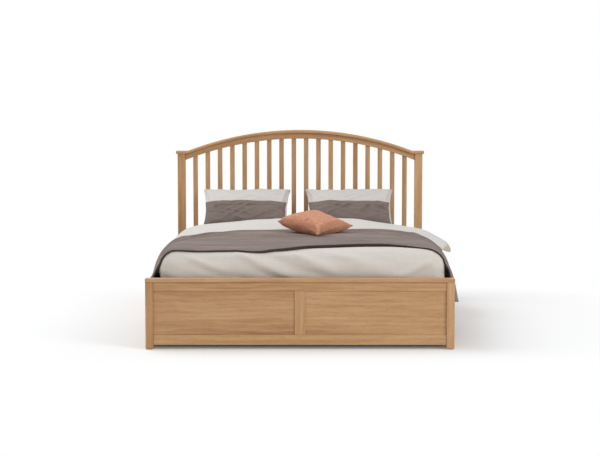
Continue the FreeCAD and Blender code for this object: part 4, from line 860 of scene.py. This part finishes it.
def makeThrow():
    look = throwLook
    bm = clothGrid(look["columns"], look["rows"])
    uvLayer = bm.loops.layers.uv.new("UVMap")
    flat = drape(bm, look)
    length = look["head"] - look["foot"]
    lift = look["gap"] + look["thick"]
    for vertex, (across, along, out) in flat.items():
        x, y, z = vertex.co
        onTop = 1 - fade(out, *look["topUntil"])
        hang = fade(out, *look["hangFrom"])
        # the back edge bows towards the pillows in the middle and falls back at the shoulders
        backShare = look["leftBack"] if x < 0 else look["rightBack"]
        backShare *= fade(abs(x), *look["shoulder"]) * (1 - hang)
        bow = look["bow"] * max(0.0, 1 - (x / look["bowHalf"]) ** 2) - backShare
        # the front edge lies further back right of the middle
        early = 1 - fade(along, *look["frontUntil"])
        skew = fade(x, *look["skewIn"]) * (1 - fade(x, *look["skewOut"])) * early
        wavy = noise.noise(Vector((x * look["wavyScale"], 9.0, 0.0))) * look["wavy"] * early
        y += bow * fade(along, *look["bowFrom"]) + look["skew"] * skew + wavy
        downScale, outScale = look["dropScale"]
        fold = noise.noise(Vector((y * downScale, math.copysign(3.0, x), out * outScale)))
        fold *= look["dropFold"] * hang
        # long folds that follow the back edge, broken up across the bed
        fromBack = (1 - along) * length
        pleat = 0.0
        for number, (distance, lean, width, height) in enumerate(look["pleats"]):
            patch = noise.noise(Vector((x * look["breakScale"], 3.0 + number * 4, 0.0)))
            broken = smoothStep(patch + look["breakShift"])
            sway = noise.noise(Vector((x * look["swayScale"], 7.0, number))) * look["sway"]
            away = (fromBack - distance - lean * x - sway) / width
            pleat += math.exp(-away ** 2) * height * broken
        acrossScale, alongScale = look["rippleScale"]
        ripple = noise.noise(Vector((x * acrossScale, y * alongScale, 2.0)))
        ripple *= look["ripple"] * fade(along, *look["rippleFrom"])
        lip = between(*look["backLip"], fade(x, *look["lipRight"])) * fade(along, *look["lipFrom"])
        vertex.co = Vector((x + math.copysign(fold, x), y, z + (pleat + ripple + lip) * onTop))
    for vertex in bm.verts:
        rest = topAt(bedSurface, vertex.co.x, vertex.co.y) + lift
        if abs(vertex.co.x) < look["topHalf"] and vertex.co.z < rest:
            vertex.co.z = rest
        # round the mattress's shoulders the throw lies close against the cover
        close = fade(abs(vertex.co.x), *look["closeSides"]) * fade(vertex.co.z, *look["closeAbove"])
        close *= 1 - fade(flat[vertex][1], *look["closeUntil"])
        spot, facing = coverSurface.find_nearest(vertex.co)[:2]
        vertex.co = vertex.co.lerp(spot + facing * (lift + look["closeGap"]), close)
    # at the sides it stays outside the duvet
    for vertex in bm.verts:
        facing = bedSurface.find_nearest(vertex.co)[1]
        outward = facing.z + math.copysign(facing.x, facing.x * vertex.co.x)
        beside = abs(vertex.co.x) > look["sideHalf"] and flat[vertex][1] > look["overDuvet"]
        if beside and outward > look["outward"]:
            vertex.co = clearOf(bedSurface, vertex.co, lift + look["sideGap"])
    bmesh.ops.smooth_vert(bm, verts=bm.verts, factor=look["relax"], use_axis_z=True)
    # the front edge stands a little off the cover and turns down onto it
    for vertex, (across, along, out) in flat.items():
        flatPart = 1 - fade(abs(vertex.co.x), *look["lipFlat"])
        near = (1 - fade(along, *look["lipDepth"])) * flatPart
        rest = topAt(bedSurface, vertex.co.x, vertex.co.y) + lift
        if near > 0:
            vertex.co.z = between(vertex.co.z, rest + lineAt(look["frontLip"], vertex.co.x), near)
        if along < 0.5 / look["rows"]:
            vertex.co.z = between(vertex.co.z, rest, flatPart)
            vertex.co.x -= math.copysign(look["hemTurn"] * fade(out, *look["hemFrom"]), vertex.co.x)
    # The front row of faces takes the throw's dark painted shade; the back hem takes the beige lining
    finishes = []
    for face in bm.faces:
        middle = sum(flat[vertex][1] for vertex in face.verts) / len(face.verts)
        reach = max(flat[vertex][2] for vertex in face.verts)
        backHem = middle > 1 - look["backHemRows"] / look["rows"] and reach < look["hemHalf"]
        frontLipShaded = middle < look["frontShadeRows"] / look["rows"]
        finishes.append(2 if backHem else 1 if frontLipShaded else 0)
        for loop in face.loops:
            across, along, out = flat[loop.vert]
            loop[uvLayer].uv = (across, along * length)
    piece = newPiece("throw_blanket", bm, cloths["throw"])
    piece.data.materials.append(cloths["throwShade"])
    piece.data.materials.append(cloths["lining"])
    # the underside and rim take the dark painted shade as well
    modify(piece, "thickness", "SOLIDIFY", thickness=look["thick"], offset=-1.0, material_offset=1,
           material_offset_rim=1)
    bakeModifiers(piece)
    for face, finish in zip(piece.data.polygons, finishes):
        face.material_index = finish
    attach(piece, "platform")
    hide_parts("throw")
    return piece


throwPiece = makeThrow()
bedSurface = surfaceOf(cover, duvet, throwPiece)
print("throw made")

# Pillows: the size of the sewn case, its fullness to the front and the back, and where it leans
pillowLooks = {
    "back": {"width": 0.573, "length": 0.386, "front": 0.030, "back": 0.112, "lean": 32.0, "y": 0.821,
             "z": 0.6034, "left": -0.342, "right": 0.316, "draw": 0.012, "sag": 0.003, "full": 0.62,
             "lopside": 0.0, "taper": 0.06, "crease": 0.002, "start": 0.88,
             "voxel": 0.006, "tension": 15.0, "bending": 0.3, "pressure": 2.5, "frames": 16,
             "cap": 0.008, "wrinkle": 0.005, "seed": {"left": 3.7, "right": 12.7},
             "foldHeight": 0.007, "foldWidth": 0.014, "foldTop": 0.20,
             "folds": {"left": [((-0.20, 0.17), (-0.05, 0.10)), ((0.06, 0.16), (0.20, 0.11))],
                       "right": [((-0.05, 0.13), (0.02, 0.17)), ((0.10, 0.11), (0.23, 0.16))]}},
    "front": {"width": 0.519, "length": 0.240, "front": 0.048, "back": 0.026, "lean": 32.0, "y": 0.676,
              "z": 0.5709, "left": -0.343, "right": 0.310, "draw": 0.004, "sag": 0.004, "full": 0.62,
              "lopside": 0.0, "taper": 0.0, "crease": 0.004, "start": 0.88,
              "voxel": 0.005, "tension": 15.0, "bending": 0.2, "pressure": 2.5, "frames": 16,
              "cap": 0.007, "wrinkle": 0.007, "seed": {"left": 8.1, "right": 15.1},
              "foldHeight": 0.016, "foldWidth": 0.011, "foldTop": 0.058,
              "folds": {"left": [((0.00, 0.015), (0.21, 0.082)), ((0.15, 0.060), (0.23, 0.014)),
                                 ((-0.07, 0.080), (-0.20, 0.046)), ((-0.20, 0.010), (-0.04, 0.040))],
                        "right": [((-0.03, 0.000), (0.05, 0.074)), ((-0.16, 0.066), (-0.04, 0.006)),
                                  ((0.06, 0.074), (0.23, 0.010)), ((0.13, 0.036), (0.07, -0.030))]}},
}


# A sewn case: crowned to the front (-Y) and the back, thin at its seam, its sides drawn in between
# the corners
sewnCase = {"cuts": 23, "crown": 2.6, "seam": 0.006, "backTurn": 0.7, "backLeast": 0.2, "backMost": 1.3,
            "creaseScale": ((3.0, 2.0), (-1.0, 4.0))}


def caseShape(look, seed):
    bm = bmesh.new()
    bmesh.ops.create_cube(bm, size=2.0)
    bmesh.ops.subdivide_edges(bm, edges=bm.edges, cuts=sewnCase["cuts"], use_grid_fill=True)
    for vertex in bm.verts:
        a, depth, b = vertex.co
        crown = ((1 - abs(a) ** sewnCase["crown"]) * (1 - abs(b) ** sewnCase["crown"])) ** look["full"]
        if depth < 0:
            bulge = look["front"] * (1 + look["lopside"] * (b - a) / 2)
        else:
            tilted = 1 + look["lopside"] * (b + sewnCase["backTurn"] * a)
            bulge = look["back"] * max(sewnCase["backLeast"], min(sewnCase["backMost"], tilted))
        drawn = look["draw"] * (1 - b * b) * (1 - look["lopside"] * b)
        x = a * look["width"] / 2 - math.copysign(drawn, a) * abs(a) ** 3
        x *= 1 - look["taper"] * (1 - b) / 2
        z = b * look["length"] / 2 - math.copysign(look["sag"] * (1 - a * a), b) * abs(b) ** 3
        y = depth * (sewnCase["seam"] + bulge * look["start"] * crown)
        first, second = (a * onA + b * onB + seed for onA, onB in sewnCase["creaseScale"])
        crease = noise.noise(Vector((first, second, depth)))
        vertex.co = Vector((x, y - crease * look["crease"] * crown, z))
    return bm


# Creases that run slantwise over a case, with a few long folds, fading out at its seam
creaseLook = {"slopes": (0.55, -0.35), "along": 4.0, "across": 19.0, "sharp": 2.6, "level": 0.5,
              "patch": (6.0, 7.0), "patchShift": 0.65, "seamReach": 0.3, "foldFade": 0.05}


def wrinkle(piece, look, side, seed):
    facings = [vertex.normal.copy() for vertex in piece.data.vertices]
    for vertex, facing in zip(piece.data.vertices, facings):
        x, y, z = vertex.co
        a, b = x / look["width"] * 2, z / look["length"] * 2
        inner = smoothStep((1 - max(abs(a), abs(b))) / creaseLook["seamReach"])
        total = -creaseLook["level"]
        for number, slope in enumerate(creaseLook["slopes"]):
            spot = Vector(((x + slope * z) * creaseLook["along"] + seed,
                           (z - slope * x) * creaseLook["across"], seed + number * 5))
            crest = 1 - abs(noise.noise(spot)) * creaseLook["sharp"]
            alongScale, upScale = creaseLook["patch"]
            patch = noise.noise(Vector((x * alongScale + number * 4, z * upScale, seed)))
            total += max(0.0, crest) * smoothStep(patch + creaseLook["patchShift"])
        fold = pleatAt(vertex.co, look["folds"][side], look["foldWidth"]) if y < 0 else 0.0
        # the folds end below the pillow's top edge
        fold *= smoothStep((look["foldTop"] - z) / creaseLook["foldFade"])
        vertex.co += facing * (total * look["wrinkle"] + fold * look["foldHeight"]) * inner


restGap = 0.0006  # between a pillow and what it lies on


def restOn(piece, surface):
    for vertex in piece.data.vertices:
        floor = topAt(surface, vertex.co.x, vertex.co.y) + restGap
        if vertex.co.z < floor:
            vertex.co.z = floor


def makePillow(row, side, material):
    look = pillowLooks[row]
    seed = look["seed"][side]
    piece = newPiece(f"pillow_case_{row}_{side}", caseShape(look, seed), material)
    inflate(piece, look)
    bakeModifiers(subdivided(piece))
    wrinkle(piece, look, side, seed)
    flatUv(piece)
    place = Matrix.Translation((look[side], look["y"], look["z"]))
    piece.data.transform(place @ Matrix.Rotation(math.radians(look["lean"] - 90), 4, "X"))
    restOn(piece, bedSurface)
    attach(piece, "platform")
    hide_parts(f"pillow_{row}_{side}")


for side in ("left", "right"):
    makePillow("back", side, cloths["pillow"])
    makePillow("front", side, cloths["grey"])
print("pillows made")

# Accent cushion lying on the throw with one corner towards the foot
cushionLook = {
    "width": 0.312, "length": 0.312, "front": 0.043, "back": 0.048, "lopside": 0.6, "draw": 0.028,
    "sag": 0.028, "full": 0.38, "taper": 0.0, "crease": 0.003, "start": 0.85, "seed": 21.0,
    "x": 0.090, "y": -0.120, "z": 0.5742, "turn": 49.0, "tilt": 13.0, "roll": 4.6,
    "voxel": 0.005, "tension": 15.0, "bending": 0.4, "pressure": 3.0, "frames": 18, "cap": 0.010,
}


def makeCushion():
    look = cushionLook
    piece = newPiece("accent_cushion_cover", caseShape(look, look["seed"]), cloths["cushion"])
    inflate(piece, look)
    flatUv(piece)
    place = Matrix.Translation((look["x"], look["y"], look["z"]))
    for name, axis in (("roll", "Y"), ("tilt", "X"), ("turn", "Z")):
        place = place @ Matrix.Rotation(math.radians(look[name]), 4, axis)
    piece.data.transform(place @ Matrix.Rotation(math.radians(-90), 4, "X"))
    restOn(piece, bedSurface)
    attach(piece, "platform")
    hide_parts("accent_cushion")
    subdivided(piece)


makeCushion()
print("cushion made")

# Pull strap: flat webbing in a loop under the foot tube
strapLook = {"span": 0.140, "width": 0.030, "thick": 0.0024, "dish": 0.0004, "steps": 72, "ribs": 10,
             "color": (0.035, 0.034, 0.034), "pitch": 0.0018, "slub": 0.2, "contrast": 0.45}


def webbingMaterial(name):
    material, tree, shader, spots = newMaterial(name)
    weave = useGroup(tree, plainWeave, {
        "Vector": spots["UV"], "Pitch": strapLook["pitch"], "Slub": strapLook["slub"]})
    thread = ranged(tree, weave["Height"], 0.2, 1.0, 1.0 - strapLook["contrast"], 1.0)
    shaded(tree, shader, strapLook["color"], thread)
    feed(tree, shader.inputs, {"Roughness": 0.7})
    bumped(tree, shader, weave["Height"], strength=0.8, distance=0.0006)
    return material


def makeStrap():
    look = strapLook
    low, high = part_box("pull_strap")
    middle = (look["span"] - look["width"]) / 2
    bend = low.z + look["span"] / 2
    leg = high.z - bend
    bm = clothGrid(look["steps"], look["ribs"])
    uvLayer = bm.loops.layers.uv.new("UVMap")
    total = 2 * leg + math.pi * middle
    flat = {}
    for vertex in bm.verts:
        share, across = (vertex.co.x + 1) / 2, vertex.co.y * look["width"] / 2
        run = share * total
        if run < leg:
            spot, out = Vector((-middle, 0, high.z - run)), Vector((-1, 0, 0))
        elif run > total - leg:
            spot, out = Vector((middle, 0, high.z - (total - run))), Vector((1, 0, 0))
        else:
            angle = (run - leg) / middle
            out = Vector((-math.cos(angle), 0, -math.sin(angle)))
            spot = Vector((0, 0, bend)) + out * middle
        flat[vertex.index] = (run, across)
        edge = look["dish"] * (1 - abs(vertex.co.y) ** 6)
        vertex.co = spot + out * across + Vector((0, (low.y + high.y) / 2 - edge, 0))
    for face in bm.faces:
        for loop in face.loops:
            loop[uvLayer].uv = flat[loop.vert.index]
    piece = newPiece("pull_strap_webbing", bm, webbingMaterial("blackWebbing"))
    modify(piece, "thickness", "SOLIDIFY", thickness=look["thick"], offset=0.0)
    bakeModifiers(piece)
    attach(piece, "platform")
    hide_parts("pull_strap")


makeStrap()
print("pull strap made")

# Stage, light and camera
studio = {"floorSize": 30.0, "floorColor": (0.90, 0.91, 0.92), "driftScale": 2.0, "drift": 0.01,
          "ambient": 0.62, "bedHalf": (0.79, 0.93), "spreadScale": (0.75, 1.5), "edgeReach": 0.15,
          "shadowLift": 0.17, "nearReach": 0.18, "farReach": 0.95}


def whiteRays(tree):
    seen = put(tree, "ShaderNodeLightPath").outputs
    direct = calc(tree, "MAXIMUM", seen["Is Camera Ray"], seen["Is Glossy Ray"])
    return calc(tree, "MAXIMUM", direct, seen["Is Transmission Ray"])


# The floor holds the bed's shadow close by, lifted a little by painted light just outside the bed, and
# turns into the white background further off
def makeFloor():
    bm = bmesh.new()
    bmesh.ops.create_grid(bm, x_segments=2, y_segments=2, size=studio["floorSize"])
    material, tree, shader, spots = newMaterial("paleFloor")
    drift = useGroup(tree, toneDrift, {
        "Vector": spots["Object"], "Scale": studio["driftScale"], "Amount": studio["drift"]})
    shaded(tree, shader, studio["floorColor"], drift["Shade"])
    feed(tree, shader.inputs, {"Roughness": 0.9, "Specular IOR Level": 0.0})
    parts = axes(tree, spots["Object"])
    outside = []
    for axis, half, scale in zip("XY", studio["bedHalf"], studio["spreadScale"]):
        over = calc(tree, "SUBTRACT", calc(tree, "ABSOLUTE", parts[axis]), half)
        outside.append(calc(tree, "MULTIPLY", calc(tree, "MAXIMUM", over, 0.0), scale))
    squares = [calc(tree, "MULTIPLY", over, over) for over in outside]
    away = calc(tree, "SQRT", calc(tree, "ADD", *squares))
    # painted light: just outside the bed the floor is mixed a little towards white for camera rays,
    # thinning the bed's shadow
    near = ranged(tree, away, 0.0, studio["edgeReach"], 0.0, studio["shadowLift"])
    far = ranged(tree, away, studio["nearReach"], studio["farReach"],
                 0.0, 1.0 - studio["shadowLift"])
    white = put(tree, "ShaderNodeEmission", inputs={"Color": (1, 1, 1, 1), "Strength": 1.0})
    choice = put(tree, "ShaderNodeMixShader", inputs={
        0: calc(tree, "MULTIPLY", whiteRays(tree), calc(tree, "ADD", near, far)),
        1: shader.outputs[0], 2: white.outputs[0]})
    tree.links.new(choice.outputs[0], tree.nodes["Material Output"].inputs["Surface"])
    floor = newPiece("studio_floor", bm, material)


makeFloor()

world = bpy.data.worlds.new("studioWorld")
scene.world = world
world.use_nodes = True
worldTree = world.node_tree
dim = worldTree.nodes["Background"]
feed(worldTree, dim.inputs, {"Color": (1, 1, 1, 1), "Strength": studio["ambient"]})
bright = put(worldTree, "ShaderNodeBackground", inputs={"Color": (1, 1, 1, 1), "Strength": 1.0})
choice = put(worldTree, "ShaderNodeMixShader", inputs={
    0: whiteRays(worldTree), 1: dim.outputs[0], 2: bright.outputs[0]})
worldTree.links.new(choice.outputs[0], worldTree.nodes["World Output"].inputs["Surface"])

lamps = {
    "key": {"place": (4.6, -4.6, 3.4), "aim": (0.0, -0.2, 0.4), "size": 2.8, "watts": 150.0},
    "top": {"place": (-2.6, 0.6, 4.6), "aim": (0.0, 0.0, 0.4), "size": 3.6, "watts": 130.0},
}
for name, lamp in lamps.items():
    light = bpy.data.lights.new(name + "Light", "AREA")
    light.shape = "SQUARE"
    light.size = lamp["size"]
    light.energy = lamp["watts"]
    holder = bpy.data.objects.new(name + "Light", light)
    scene.collection.objects.link(holder)
    holder.location = lamp["place"]
    aim = Vector(lamp["aim"]) - Vector(lamp["place"])
    holder.rotation_euler = aim.to_track_quat("-Z", "Y").to_euler()

view = {"place": (0.0, -8.708, 1.2692), "pitch": 85.2, "focal": 89.88, "sensor": 36.0, "reach": 200.0}
camera = bpy.data.cameras.new("photoCamera")
camera.lens = view["focal"]
camera.sensor_width = view["sensor"]
camera.clip_end = view["reach"]
cameraHolder = bpy.data.objects.new("photoCamera", camera)
scene.collection.objects.link(cameraHolder)
cameraHolder.location = view["place"]
cameraHolder.rotation_euler = (math.radians(view["pitch"]), 0.0, 0.0)
scene.camera = cameraHolder
scene.view_settings.view_transform = "Standard"
print("stage, light and camera set")
